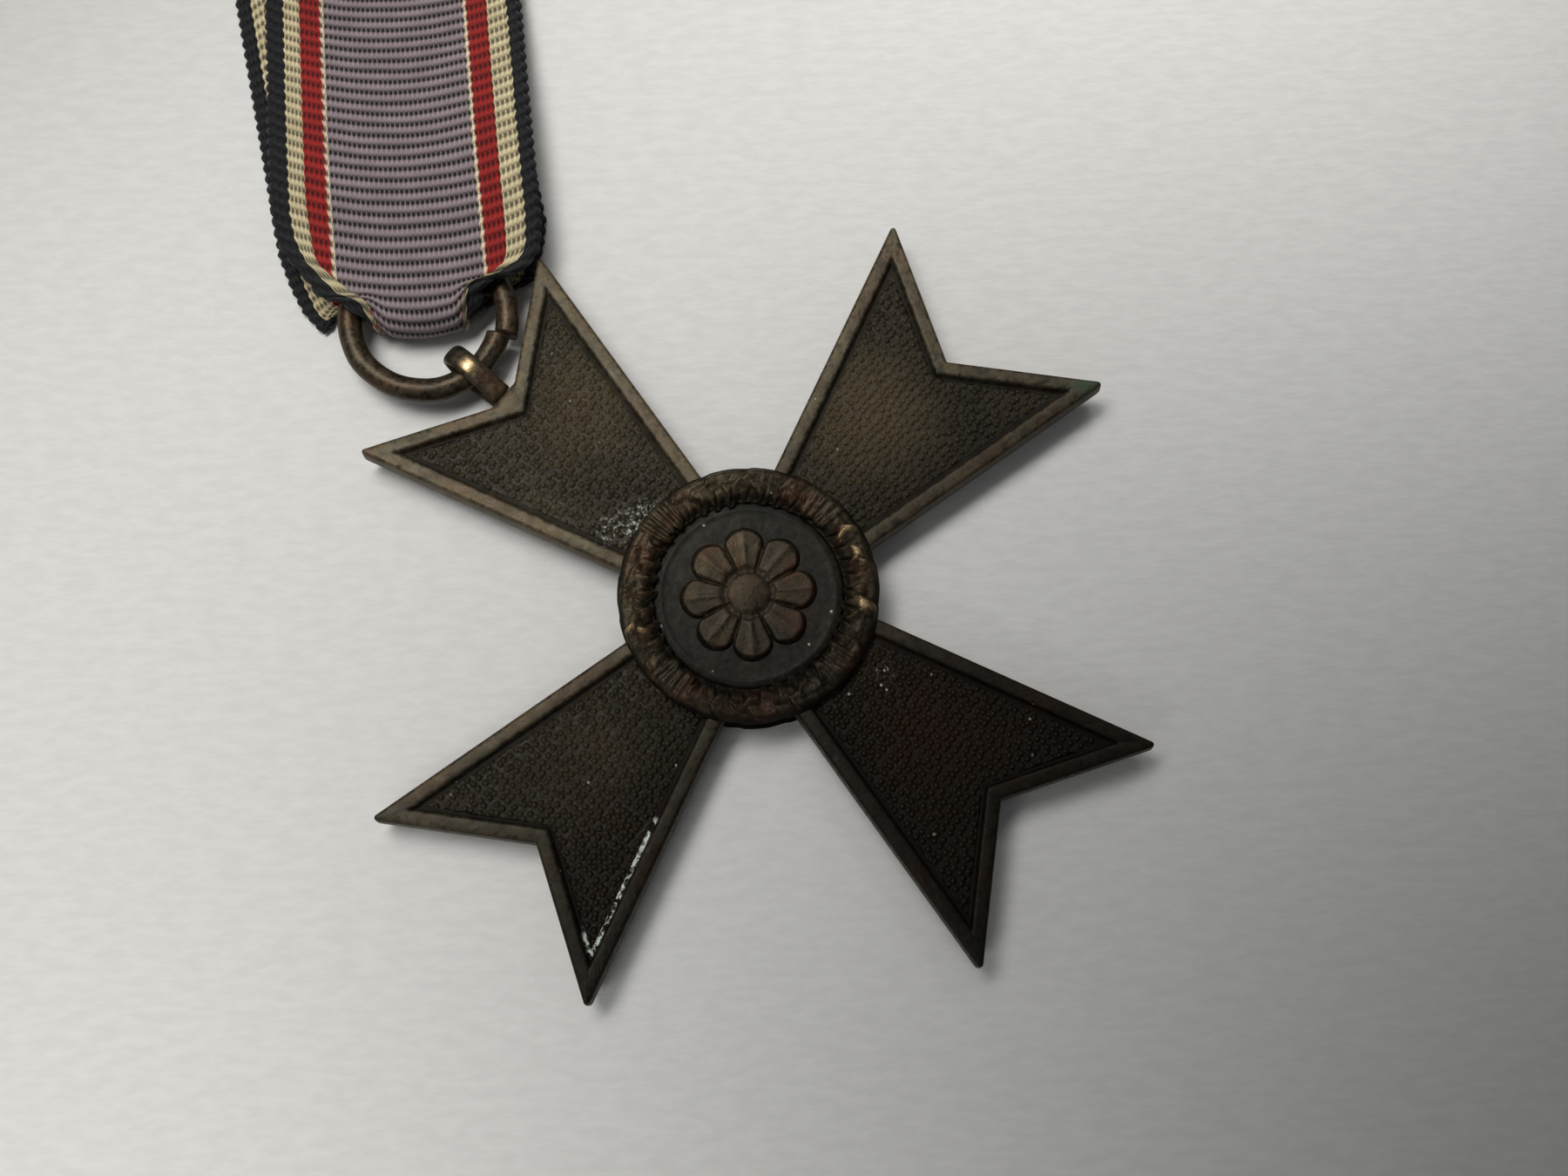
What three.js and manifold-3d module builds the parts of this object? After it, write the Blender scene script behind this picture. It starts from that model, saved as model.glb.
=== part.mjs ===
// A four-armed cross medal on a folded ribbon.
//
// The cross has raised rims round sunken fields. A wreath, a disc and a rosette fill the middle
// of its front, and a wreath and a plain disc the middle of its back. An eyelet stands in the
// notch of one arm, a split ring hangs in the eyelet, and the ribbon is folded through the ring.
//
// Millimetres. The origin is the centre of the flat back disc, on which the medal lies.
// +Z points out of the front, and +Y along the arm that carries the eyelet.

import * as THREE from "three";
import { mergeVertices } from "three/addons/utils/BufferGeometryUtils.js";
import Module from "manifold-3d";

const wasm = await Module();
wasm.setup();

// Cross
const ARM_COUNT = 4;
const TIP_REACH = 24.3; // centre to the line through an arm's two tips
const TIP_HALF_SPACING = 8.46; // half the distance between an arm's two tips
const NOTCH_REACH = 19.08; // centre to the bottom of the V between the tips
const SIDE_OFFSET = 1.98; // half width that an arm's straight sides would have at the centre
const TIP_RADIUS = 0.27;
const LEAST_TIP_RADIUS = 0.03;
const HUB_RADIUS = 7.5;
const RIM_WIDTH = 1.05;
const FIELD_SINK = 0.35; // from the rim down to the field, front and back
const FIELD_START = 6.4; // the fields run in under the wreath as far as this
const PLATE_BOTTOM = 0.7;
const PLATE_TOP = 2.7;
const MID_HEIGHT = (PLATE_BOTTOM + PLATE_TOP) / 2;
const EDGE_BULGE = 0.25; // how far the edge's middle stands proud of the rims
const EDGE_LAND = 0.2; // upright middle of the edge
const SEAT_REACH = 19.8; // flat seat for the eyelet in the notch of the top arm

// Centre
const WREATH_INNER = 5.85;
const WREATH_OUTER = 7.75;
const WREATH_LEAVES = 28;
const FRONT_WREATH_HEIGHT = 0.65;
const BACK_WREATH_HEIGHT = 0.6;
const DISC_RADIUS = 5.6;
const DISC_POCKET_RADIUS = 5.75;
const FRONT_POCKET_FLOOR = 1.85;
const BACK_POCKET_ROOF = 1.15;
const FRONT_DISC_TOP = 2.55;
const ROSETTE_RADIUS = 4.15;
const ROSETTE_WAIST = 0.72; // radius between two petals, as a share of the whole
const ROSETTE_PETALS = 8;
const ROSETTE_HEIGHT = 0.4;
const CURVE_STEPS = 8;
const SEAM = 0.05; // gap between pieces that are fixed to each other

// Eyelet and ring
const EYELET_CENTRE = 22.45; // along the arm
const EYELET_HALF_LENGTH = 1.95;
const EYELET_HALF_HEIGHT = 1.66;
const EYELET_STRAP = 0.58; // thickness of the strip that it is bent from
const EYELET_WIDTH = 1.4;
const EYELET_ROOT_HEIGHT = 1.9;
const EYELET_EDGE = 0.15;
const RING_X = 0.98; // the ring lies pulled a little to the right
const RING_RADIUS = 4.87;
const WIRE_REACH = 22.33; // where the wire passes through the eyelet
const RING_Y = WIRE_REACH + Math.sqrt(RING_RADIUS ** 2 - RING_X ** 2);
const WIRE_RADIUS = 0.75;
const SPLIT_ANGLE = THREE.MathUtils.degToRad(-65);
const SPLIT_GAP = THREE.MathUtils.degToRad(2);
const SPLIT_STEP = 0.07; // each end's radius differs this much from the mean

// Ribbon, in its own frame: x runs from the ring's centre along the ribbon, y to its left
const RIBBON_ANGLE = THREE.MathUtils.degToRad(47.1);
const BACK_TAIL_SKEW = THREE.MathUtils.degToRad(5.5);
const RIBBON_WIDTH = 16.8;
const RIBBON_LEFT_SHIFT = 0.58;
const RIBBON_THICKNESS = 0.5;
const LOOP_HEIGHT = 3.1; // both layers and the wire between them
const LOOP_END = -1.2; // the fold's end, just past the ring's centre
const LOOP_TAIL_JOINT = 6.1; // the loop hands over to the tails just past the wire
const TAIL_GAP = 0.2;
const TAIL_END = 57;
const DROP_END = 32; // the front tail has come down onto the back one here

const MATERIALS = {
  bronze: { color: 0x4f4338, roughness: 0.5, metalness: 0.9 },
  dark_bronze: { color: 0x2e2a24, roughness: 0.6, metalness: 0.8 },
  ring_bronze: { color: 0x57492e, roughness: 0.4, metalness: 0.9 },
  ribbon: { color: 0x796a70, roughness: 0.9, metalness: 0 },
};

const medal = new THREE.Group();

function addPiece(name, geometry, finish, parent = medal) {
  const mesh = new THREE.Mesh(geometry, new THREE.MeshStandardMaterial(MATERIALS[finish]));
  mesh.name = name;
  parent.add(mesh);
  return mesh;
}

// --- Solids: joins and cuts ---

function toManifold(geometry) {
  const bare = geometry.clone();
  bare.deleteAttribute("normal");
  bare.deleteAttribute("uv");
  const merged = mergeVertices(bare, 1e-4);
  return new wasm.Manifold(new wasm.Mesh({
    numProp: 3,
    vertProperties: new Float32Array(merged.attributes.position.array),
    triVerts: new Uint32Array(merged.index.array),
  }));
}

function toGeometry(solid) {
  const mesh = solid.getMesh();
  const geometry = new THREE.BufferGeometry();
  geometry.setAttribute("position", new THREE.BufferAttribute(mesh.vertProperties, 3));
  geometry.setIndex(new THREE.BufferAttribute(mesh.triVerts, 1));
  geometry.computeVertexNormals();
  return geometry;
}

function prism(shape, bottom, top, curveSegments = 24) {
  const depth = top - bottom;
  const geometry = new THREE.ExtrudeGeometry(shape, { depth, bevelEnabled: false, curveSegments });
  return geometry.translate(0, 0, bottom);
}

function disc(radius, bottom, top) {
  const geometry = new THREE.CylinderGeometry(radius, radius, top - bottom, 72);
  return geometry.rotateX(Math.PI / 2).translate(0, 0, (bottom + top) / 2);
}

// --- Cross ---

// An arm that points along +Y has its right side on x = offset + sideSlope * y and the right
// half of its notch on y = reach + notchSlope * x.
const sideSlope = (TIP_HALF_SPACING - SIDE_OFFSET) / TIP_REACH;
const notchSlope = (TIP_REACH - NOTCH_REACH) / TIP_HALF_SPACING;

function turned(point, arm) {
  return point.clone().rotateAround(new THREE.Vector2(), -arm * Math.PI / 2);
}

// The right half of one arm, moved in from its outline by inset.
function armCorners(inset, start) {
  const offset = SIDE_OFFSET - inset * Math.hypot(1, sideSlope);
  const reach = NOTCH_REACH - inset * Math.hypot(1, notchSlope);
  const tipX = (offset + sideSlope * reach) / (1 - sideSlope * notchSlope);
  const tip = new THREE.Vector2(tipX, reach + notchSlope * tipX);
  const root = new THREE.Vector2(offset + sideSlope * start, start);
  const notch = new THREE.Vector2(0, reach);
  return { root, tip, notch };
}

function mirrored(point) {
  return new THREE.Vector2(-point.x, point.y);
}

// Where an arm's side leaves a round hub.
function rootHeight(offset, hub) {
  const a = 1 + sideSlope ** 2;
  const b = offset * sideSlope;
  const c = offset ** 2 - hub ** 2;
  return (-b + Math.sqrt(b * b - a * c)) / a;
}

// The whole outline, moved in by inset. It runs clockwise over the arms +Y, +X, -Y and -X.
function crossOutline(inset) {
  const hub = HUB_RADIUS - inset;
  const tipRadius = Math.max(TIP_RADIUS - inset, LEAST_TIP_RADIUS);
  const tip = armCorners(inset + tipRadius, 0).tip;
  const notch = armCorners(inset, 0).notch;
  const rootOffset = SIDE_OFFSET - inset * Math.hypot(1, sideSlope);
  const root = new THREE.Vector2(0, rootHeight(rootOffset, hub));
  root.x = rootOffset + sideSlope * root.y;
  const rootAngle = Math.atan2(root.y, root.x);
  const sideNormal = Math.atan(sideSlope);
  const notchNormal = Math.PI / 2 - Math.atan(notchSlope);
  const seat = SEAT_REACH - inset;
  const seatHalf = (seat - notch.y) / notchSlope;
  const shape = new THREE.Shape();
  for (let arm = 0; arm < ARM_COUNT; arm++) {
    const turn = -arm * Math.PI / 2;
    const left = turned(mirrored(tip), arm);
    const right = turned(tip, arm);
    const bottom = turned(notch, arm);
    shape.absarc(left.x, left.y, tipRadius, Math.PI + sideNormal + turn, notchNormal + turn, true);
    if (arm === 0) {
      shape.lineTo(-seatHalf, seat);
      shape.lineTo(seatHalf, seat);
    } else {
      shape.lineTo(bottom.x, bottom.y);
    }
    shape.absarc(right.x, right.y, tipRadius, Math.PI - notchNormal + turn, turn - sideNormal, true);
    shape.absarc(0, 0, hub, rootAngle + turn, Math.PI / 2 - rootAngle + turn, true);
  }
  return shape.getPoints(CURVE_STEPS);
}

// A closed solid through clockwise outlines of equally many points, each at its own height.
function loft(outlines, heights) {
  const count = outlines[0].length;
  const positions = outlines.flatMap((outline, level) =>
    outline.flatMap((point) => [point.x, point.y, heights[level]]));
  const index = [];
  const last = (outlines.length - 1) * count;
  for (const [a, b, c] of THREE.ShapeUtils.triangulateShape(outlines[0], [])) {
    index.push(c, b, a);
    index.push(last + a, last + b, last + c);
  }
  for (let level = 0; level < outlines.length - 1; level++) {
    for (let i = 0; i < count; i++) {
      const next = (i + 1) % count;
      const low = level * count;
      const high = low + count;
      index.push(low + i, high + next, low + next);
      index.push(low + i, high + i, high + next);
    }
  }
  const geometry = new THREE.BufferGeometry();
  geometry.setAttribute("position", new THREE.Float32BufferAttribute(positions, 3));
  geometry.setIndex(index);
  return geometry;
}

function fieldShape(arm) {
  const { root, tip, notch } = armCorners(RIM_WIDTH, FIELD_START);
  const corners = [root, tip, notch, mirrored(tip), mirrored(root)];
  return new THREE.Shape(corners.map((corner) => turned(corner, arm)));
}

function crossPlate() {
  const rim = crossOutline(EDGE_BULGE);
  const edge = crossOutline(0);
  const landHalf = EDGE_LAND / 2;
  const heights = [PLATE_BOTTOM, MID_HEIGHT - landHalf, MID_HEIGHT + landHalf, PLATE_TOP];
  const blank = loft([rim, edge, edge, rim], heights);
  const above = PLATE_TOP + 1;
  const below = PLATE_BOTTOM - 1;
  let plate = toManifold(blank);
  for (let arm = 0; arm < ARM_COUNT; arm++) {
    const field = fieldShape(arm);
    plate = plate.subtract(toManifold(prism(field, PLATE_TOP - FIELD_SINK, above)));
    plate = plate.subtract(toManifold(prism(field, below, PLATE_BOTTOM + FIELD_SINK)));
  }
  plate = plate.subtract(toManifold(disc(DISC_POCKET_RADIUS, FRONT_POCKET_FLOOR, above)));
  plate = plate.subtract(toManifold(disc(DISC_POCKET_RADIUS, below, BACK_POCKET_ROOF)));
  return toGeometry(plate);
}

addPiece("cross_plate", crossPlate(), "bronze");

// --- Centre ---

// A ring with a half-round top, its leaves as a ripple in the top and in both edges.
function wreath(height) {
  const middle = (WREATH_INNER + WREATH_OUTER) / 2;
  const half = (WREATH_OUTER - WREATH_INNER) / 2;
  const archSteps = 6;
  const profile = [];
  for (let step = 0; step <= archSteps; step++) {
    const angle = Math.PI * step / archSteps;
    const rise = height * (0.3 + 0.7 * Math.sin(angle));
    profile.push(new THREE.Vector2(middle + half * Math.cos(angle), rise));
  }
  profile.push(new THREE.Vector2(WREATH_INNER, 0));
  profile.push(new THREE.Vector2(WREATH_OUTER, 0));
  profile.push(profile[0].clone());
  const ring = new THREE.LatheGeometry(profile, WREATH_LEAVES * 3).rotateX(Math.PI / 2);
  const position = ring.attributes.position;
  for (let i = 0; i < position.count; i++) {
    const x = position.getX(i);
    const y = position.getY(i);
    const leaf = 0.5 + 0.5 * Math.cos(WREATH_LEAVES * Math.atan2(y, x));
    const fromMiddle = (Math.hypot(x, y) - middle) / half;
    const scale = 1 - 0.015 * leaf * fromMiddle;
    position.setXYZ(i, x * scale, y * scale, position.getZ(i) * (1 - 0.18 * leaf));
  }
  return ring;
}

addPiece("obverse_wreath", wreath(FRONT_WREATH_HEIGHT).translate(0, 0, PLATE_TOP + SEAM), "bronze");
const backWreath = wreath(BACK_WREATH_HEIGHT).rotateX(Math.PI).translate(0, 0, PLATE_BOTTOM - SEAM);
addPiece("reverse_wreath", backWreath, "bronze");

const frontDisc = disc(DISC_RADIUS, FRONT_POCKET_FLOOR + SEAM, FRONT_DISC_TOP);
addPiece("obverse_disc", frontDisc, "dark_bronze");
addPiece("reverse_disc", disc(DISC_RADIUS, 0, BACK_POCKET_ROOF - SEAM), "dark_bronze");

function rosetteShape() {
  const stepsPerPetal = 12;
  const steps = ROSETTE_PETALS * stepsPerPetal;
  const points = [];
  for (let step = 0; step < steps; step++) {
    const angle = 2 * Math.PI * step / steps;
    const petal = Math.abs(Math.cos(ROSETTE_PETALS * angle / 2));
    const radius = ROSETTE_RADIUS * (ROSETTE_WAIST + (1 - ROSETTE_WAIST) * Math.sqrt(petal));
    points.push(new THREE.Vector2(radius * Math.cos(angle), radius * Math.sin(angle)));
  }
  return new THREE.Shape(points);
}

const rosetteBottom = FRONT_DISC_TOP + SEAM;
addPiece("rosette", prism(rosetteShape(), rosetteBottom, rosetteBottom + ROSETTE_HEIGHT), "bronze");

// --- Eyelet: a loop whose side view is a drop with an oval hole, its wide end on the plate ---

function dropShape() {
  const root = SEAT_REACH + SEAM;
  const rootHalf = EYELET_ROOT_HEIGHT / 2;
  // The straps touch the ellipse where they would touch a circle as high as it is.
  const reach = (EYELET_CENTRE - root) * EYELET_HALF_HEIGHT / EYELET_HALF_LENGTH;
  const touch = Math.acos(EYELET_HALF_HEIGHT / Math.hypot(reach, rootHalf));
  const turn = Math.PI - Math.atan2(rootHalf, reach) - touch;
  const shape = new THREE.Shape();
  shape.moveTo(root, -rootHalf);
  shape.absellipse(EYELET_CENTRE, 0, EYELET_HALF_LENGTH, EYELET_HALF_HEIGHT, -turn, turn, false);
  shape.lineTo(root, rootHalf);
  return shape;
}

function eyelet() {
  const outside = new THREE.ExtrudeGeometry(dropShape(), {
    depth: EYELET_WIDTH - 2 * EYELET_EDGE,
    bevelThickness: EYELET_EDGE,
    bevelSize: EYELET_EDGE,
    bevelOffset: -EYELET_EDGE,
    bevelSegments: 2,
    curveSegments: 20,
  });
  outside.translate(0, 0, EYELET_EDGE - EYELET_WIDTH / 2);
  const oval = new THREE.Shape();
  const ovalHalfLength = EYELET_HALF_LENGTH - EYELET_STRAP;
  const ovalHalfHeight = EYELET_HALF_HEIGHT - EYELET_STRAP;
  oval.absellipse(EYELET_CENTRE, 0, ovalHalfLength, ovalHalfHeight, 0, 2 * Math.PI, false);
  const hole = prism(oval, -EYELET_WIDTH, EYELET_WIDTH);
  const geometry = toGeometry(toManifold(outside).subtract(toManifold(hole)));
  // Drawn in a plane of (Y, Z) and thick along X.
  const place = new THREE.Matrix4().makeBasis(
    new THREE.Vector3(0, 1, 0), new THREE.Vector3(0, 0, 1), new THREE.Vector3(1, 0, 0));
  return geometry.applyMatrix4(place).translate(0, 0, MID_HEIGHT);
}

addPiece("eyelet", eyelet(), "ring_bronze");

// --- Split ring ---

class SplitRing extends THREE.Curve {
  getPoint(t, target = new THREE.Vector3()) {
    const angle = SPLIT_ANGLE + SPLIT_GAP / 2 + t * (2 * Math.PI - SPLIT_GAP);
    const radius = RING_RADIUS + SPLIT_STEP * (1 - 2 * t) * Math.abs(1 - 2 * t) ** 5;
    return target.set(radius * Math.cos(angle), radius * Math.sin(angle), 0);
  }
}

const ringCentre = new THREE.Vector3(RING_X, RING_Y, MID_HEIGHT);
const wire = new THREE.Shape().absarc(0, 0, WIRE_RADIUS, 0, 2 * Math.PI, false);
const ring = new THREE.ExtrudeGeometry(wire, {
  steps: 64,
  curveSegments: 10,
  extrudePath: new SplitRing(),
});
addPiece("suspension_ring", ring, "ring_bronze").position.copy(ringCentre);

// --- Ribbon ---

const ribbonFrame = new THREE.Group();
ribbonFrame.position.set(ringCentre.x, ringCentre.y, 0);
ribbonFrame.rotation.z = RIBBON_ANGLE;
medal.add(ribbonFrame);

// A closed outline in (along, height), made as wide as the ribbon.
function ribbonSolid(outline) {
  const geometry = new THREE.ExtrudeGeometry(new THREE.Shape(outline), {
    depth: RIBBON_WIDTH,
    bevelEnabled: false,
  });
  geometry.rotateX(Math.PI / 2);
  return geometry.translate(0, RIBBON_WIDTH / 2 + RIBBON_LEFT_SHIFT, 0);
}

// The loop round the wire: two layers and the turn that joins them.
function loopOutline() {
  const outer = LOOP_HEIGHT / 2;
  const turnCentre = LOOP_END + outer;
  const turnSteps = 12;
  const points = [];
  function addTurn(radius, from, to) {
    for (let step = 0; step <= turnSteps; step++) {
      const angle = THREE.MathUtils.lerp(from, to, step / turnSteps);
      points.push(new THREE.Vector2(
        turnCentre + radius * Math.cos(angle), outer + radius * Math.sin(angle)));
    }
  }
  points.push(new THREE.Vector2(LOOP_TAIL_JOINT, LOOP_HEIGHT));
  addTurn(outer, Math.PI / 2, 3 * Math.PI / 2);
  points.push(new THREE.Vector2(LOOP_TAIL_JOINT, 0));
  points.push(new THREE.Vector2(LOOP_TAIL_JOINT, RIBBON_THICKNESS));
  addTurn(outer - RIBBON_THICKNESS, 3 * Math.PI / 2, Math.PI / 2);
  points.push(new THREE.Vector2(LOOP_TAIL_JOINT, LOOP_HEIGHT - RIBBON_THICKNESS));
  return points;
}

// Seen from above, the gathered loop narrows from the ribbon's width to fit inside the ring.
function gatherShape() {
  return new THREE.Shape([
    new THREE.Vector2(LOOP_TAIL_JOINT + 1, -7.8),
    new THREE.Vector2(3.2, -7.4),
    new THREE.Vector2(2.4, -6.8),
    new THREE.Vector2(0.7, -5.3),
    new THREE.Vector2(-0.3, -3.8),
    new THREE.Vector2(LOOP_END - 1, -2.6),
    new THREE.Vector2(LOOP_END - 1, 2.4),
    new THREE.Vector2(-0.3, 3.8),
    new THREE.Vector2(0.5, 5.2),
    new THREE.Vector2(3.3, 7.2),
    new THREE.Vector2(5.6, 8.3),
    new THREE.Vector2(LOOP_TAIL_JOINT + 1, 8.8),
  ]);
}

function ribbonLoop() {
  const layers = toManifold(ribbonSolid(loopOutline()));
  const gather = toManifold(prism(gatherShape(), -1, LOOP_HEIGHT + 1));
  return toGeometry(layers.intersect(gather));
}

addPiece("ribbon_loop", ribbonLoop(), "ribbon", ribbonFrame);

// The front tail leaves the wire's height and comes down in a long S onto the back tail.
function frontTailOutline() {
  const start = LOOP_TAIL_JOINT + TAIL_GAP;
  const high = LOOP_HEIGHT - RIBBON_THICKNESS;
  const low = RIBBON_THICKNESS + SEAM;
  const dropSteps = 12;
  const under = [];
  for (let step = 0; step <= dropSteps; step++) {
    const share = step / dropSteps;
    const height = THREE.MathUtils.lerp(high, low, THREE.MathUtils.smoothstep(share, 0, 1));
    under.push(new THREE.Vector2(THREE.MathUtils.lerp(start, DROP_END, share), height));
  }
  under.push(new THREE.Vector2(TAIL_END, low));
  const lift = new THREE.Vector2(0, RIBBON_THICKNESS);
  const over = under.map((point) => point.clone().add(lift)).reverse();
  return [...under, ...over];
}

addPiece("ribbon_front_tail", ribbonSolid(frontTailOutline()), "ribbon", ribbonFrame);

function backTailOutline() {
  const start = LOOP_TAIL_JOINT + 2 * TAIL_GAP + RIBBON_WIDTH / 2 * Math.sin(BACK_TAIL_SKEW);
  return [
    new THREE.Vector2(start, 0),
    new THREE.Vector2(TAIL_END, 0),
    new THREE.Vector2(TAIL_END, RIBBON_THICKNESS),
    new THREE.Vector2(start, RIBBON_THICKNESS),
  ];
}

const backTail = addPiece("ribbon_back_tail", ribbonSolid(backTailOutline()), "ribbon", ribbonFrame);
backTail.rotation.z = BACK_TAIL_SKEW;
const skewPivot = new THREE.Vector3(LOOP_TAIL_JOINT, RIBBON_LEFT_SHIFT, 0);
const skewAxis = new THREE.Vector3(0, 0, 1);
backTail.position.copy(skewPivot.clone().sub(skewPivot.clone().applyAxisAngle(skewAxis, BACK_TAIL_SKEW)));

export default medal;
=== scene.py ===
from math import atan, cos, hypot, pi, radians, sin, tan, tau

import bmesh
import bpy
import numpy as np
from mathutils import Matrix, Vector


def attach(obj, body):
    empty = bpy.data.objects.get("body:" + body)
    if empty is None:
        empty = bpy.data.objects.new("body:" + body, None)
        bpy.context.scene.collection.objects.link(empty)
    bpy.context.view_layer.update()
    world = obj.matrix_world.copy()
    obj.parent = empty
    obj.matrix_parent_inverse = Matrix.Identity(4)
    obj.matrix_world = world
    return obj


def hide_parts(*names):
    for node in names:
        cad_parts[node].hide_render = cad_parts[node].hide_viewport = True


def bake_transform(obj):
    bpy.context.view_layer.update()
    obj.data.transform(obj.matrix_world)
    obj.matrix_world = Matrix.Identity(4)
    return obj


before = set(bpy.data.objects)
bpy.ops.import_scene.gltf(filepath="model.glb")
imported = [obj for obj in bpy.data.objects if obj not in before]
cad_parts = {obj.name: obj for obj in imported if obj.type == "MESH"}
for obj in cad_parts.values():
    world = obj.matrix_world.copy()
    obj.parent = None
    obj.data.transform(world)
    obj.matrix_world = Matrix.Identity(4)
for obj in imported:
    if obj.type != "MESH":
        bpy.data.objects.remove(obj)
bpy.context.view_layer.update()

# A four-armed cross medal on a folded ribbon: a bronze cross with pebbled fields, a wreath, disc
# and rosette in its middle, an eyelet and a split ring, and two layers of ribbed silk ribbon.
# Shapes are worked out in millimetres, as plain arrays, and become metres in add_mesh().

MM = 0.001

# Cross
ARM_COUNT = 4
TIP_REACH = 24.3  # centre to the line through an arm's two tips
TIP_HALF_SPACING = 8.46  # half the distance between those tips
NOTCH_REACH = 19.08  # centre to the bottom of the notch between them
SIDE_OFFSET = 1.98  # half width that an arm's straight sides would have at the centre
TIP_RADIUS = 0.27
LEAST_TIP_RADIUS = 0.03
ARM_ROOT = 6  # the arms start inside the hub
SEAT_REACH = 19.8  # where the notch of the top arm is filled for the eyelet
SEAT_FADE = 1.93  # how fast the seat runs out into the notch, per mm moved in
HUB_RADIUS = 7.5
HUB_BULGE = 0.25  # the hub's edge swells out this much at mid height
HUB_SINK = 0.03  # the hub's faces lie this much inside the plate's
PLATE_BOTTOM = 0.7
PLATE_TOP = 2.7
PLATE_MIDDLE = (PLATE_BOTTOM + PLATE_TOP) / 2
FIELD_LEVEL = PLATE_TOP - 0.37
FIELD_PILLOW = 0.07  # the field rises this much towards its middle
SIDE_STEPS = 110
TIP_STEPS = 60  # from an arm's tip to the middle of its notch
ARC_STEPS = 5  # of those, on each half of the rounded tip
PEBBLE_PITCH = 0.45
PEBBLE_HEIGHT = 0.02

# The plate's section from the middle of its edge to its field: (moved in by, height over middle)
FRONT_SECTION = [
    (0, 0), (0, 0.1), (0.04, 0.5), (0.08, 0.8), (0.13, 0.92), (0.2, 0.972), (0.32, 0.992),
    (0.55, 1), (0.78, 1.005), (0.89, 0.99), (0.95, 0.945), (0.99, 0.85), (1.04, 0.69),
    (1.1, 0.59), (1.2, 0.6), (1.3, FIELD_LEVEL - PLATE_MIDDLE),
]
BACK_SECTION = [
    (0, 0.1), (0.06, 0.5), (0.2, 0.9), (0.4, 1), (0.9, 0.98), (1.05, 0.64), (1.3, 0.63),
]

# Centre
WREATH_MIDDLE = 6.8  # radius of its middle line
WREATH_HALF = 0.98  # half its width, before the garland's own bumps
WREATH_SEAT = 2.72
WREATH_HEIGHT = 0.68
WREATH_STEPS = 840
WREATH_STEPS_ACROSS = 36
BACK_WREATH_SEAT = PLATE_BOTTOM - 0.02
BACK_WREATH_HEIGHT = 0.62
TIE_HALF_ANGLE = radians(10)
TIE_RIB_PITCH = 0.52
LOBE_PITCH = 1.05  # of the jagged teeth along the inner edge
LEAF_PITCH = 2.3
LEAF_ROWS = [  # pitch, shift, middle and half width across, slant, seed
    (LEAF_PITCH, 0.4, 0.42, 0.62, 0.5, 35),
    (1.7, 0, -0.3, 0.62, -0.6, 36),
    (2.9, 0.7, 0.05, 0.5, 0.9, 37),
]
GLINTS = [  # places where the wreath's leaf tips get a painted bright glint, on partly rubbed metal
    (6.9, -0.4), (6.5, -1.6), (6, -3.2), (4, -5.4), (0.8, -6.8), (-7, 0.3), (-5.8, 3.7),
]
DISC_RADIUS = 5.7
DISC_FRONT = (2.55, 1.95)  # heights of its shown and hidden faces
DISC_BACK = (0.1, 1.05)
DISC_EDGE = [  # (radius, rise) of the fine raised line near the edge
    (5.05, 0.01), (5.15, 0.04), (5.25, 0.05), (5.35, 0.02), (5.5, -0.01), (5.65, -0.06),
]
ROSETTE_RADIUS = 4.15
ROSETTE_WAIST = 0.72  # the radius between two petals, as a share of the full one
ROSETTE_PETALS = 8
ROSETTE_BOSS = 1.3  # radius of the boss in its middle
ROSETTE_MOAT = 1.4  # radius of the groove round the boss
ROSETTE_SEAT = 2.53
ROSETTE_TOP = 3

# Eyelet and ring
EYELET_CENTRE = 22.45
EYELET_HALF_LENGTH = 1.95
EYELET_HALF_HEIGHT = 1.66
EYELET_STRAP = 0.58  # thickness of the strip
EYELET_WIDTH = 1.4
EYELET_ROOT = 19.75  # where the strip's two ends stand
EYELET_FOOT = 0.62  # half the distance between those ends
EYELET_TURN = radians(112)  # half the angle that the strip is bent through
EYELET_BOW = 0.05  # the strip is bent this much out of its plane
EYELET_GLINT = 22.3  # where it is painted with a bright glint, partly rubbed metal
RING_RADIUS = 4.87
RING_CENTRE = (0.98, 27.1)
WIRE_RADIUS = 0.74
SPLIT_ANGLE = radians(-65)  # where the ring's two ends meet
SPLIT_GAP = radians(1.9)
SPLIT_STEP = 0.24  # each end's radius differs this much from the mean

# Ribbon: s runs from the ring's centre along the ribbon, and lat to its right
RIBBON_ANGLE = radians(47.1)  # from +X to the way that the ribbon runs
RIBBON_WIDTH = 16.8
RIBBON_SHIFT = -0.58  # the front layer's middle line
BACK_SKEW = tan(radians(5.5))  # the back layer runs off to the left beyond SKEW_START
SKEW_START = 6.1
CLOTH = 0.42  # thickness
RIB_PITCH = 0.82
RIB_HEIGHT = 0.13
SCALLOP = 0.26  # the selvedges swell out this much at each rib
ROWS_PER_RIB = 6
THREAD_PITCH = 0.31
LOOP_TOP = 3.1  # top of the fold
LOOP_RADIUS = LOOP_TOP / 2
TURN_CENTRE = 0.33  # s of the middle of the U turn
TURN_REACH = 3.6  # half width of the cloth where it passes through the ring
TURN_BOW = 0.05  # the fold is bowed: s grows this much per mm squared from its middle
LEFT_BOW = 0.6  # and this much more at its ends
RIGHT_BOW = 0.95
DROP_START = 6.2  # the front layer falls from LOOP_TOP to FRONT_LEVEL between these
DROP_END = 32
FRONT_LEVEL = 1.05  # top of the front layer where it lies on the back one
BACK_LEVEL = 0.5
BACK_START = -0.9  # s of the back layer's near end
RIBBON_END = 57
BAND = 2.22  # black and cream together, the part that rides over the rest near the ring
BAND_LIFT = 0.42
BACK_TUCK = 1.7  # the back layer's near end starts this much later, except at its left edge
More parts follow.
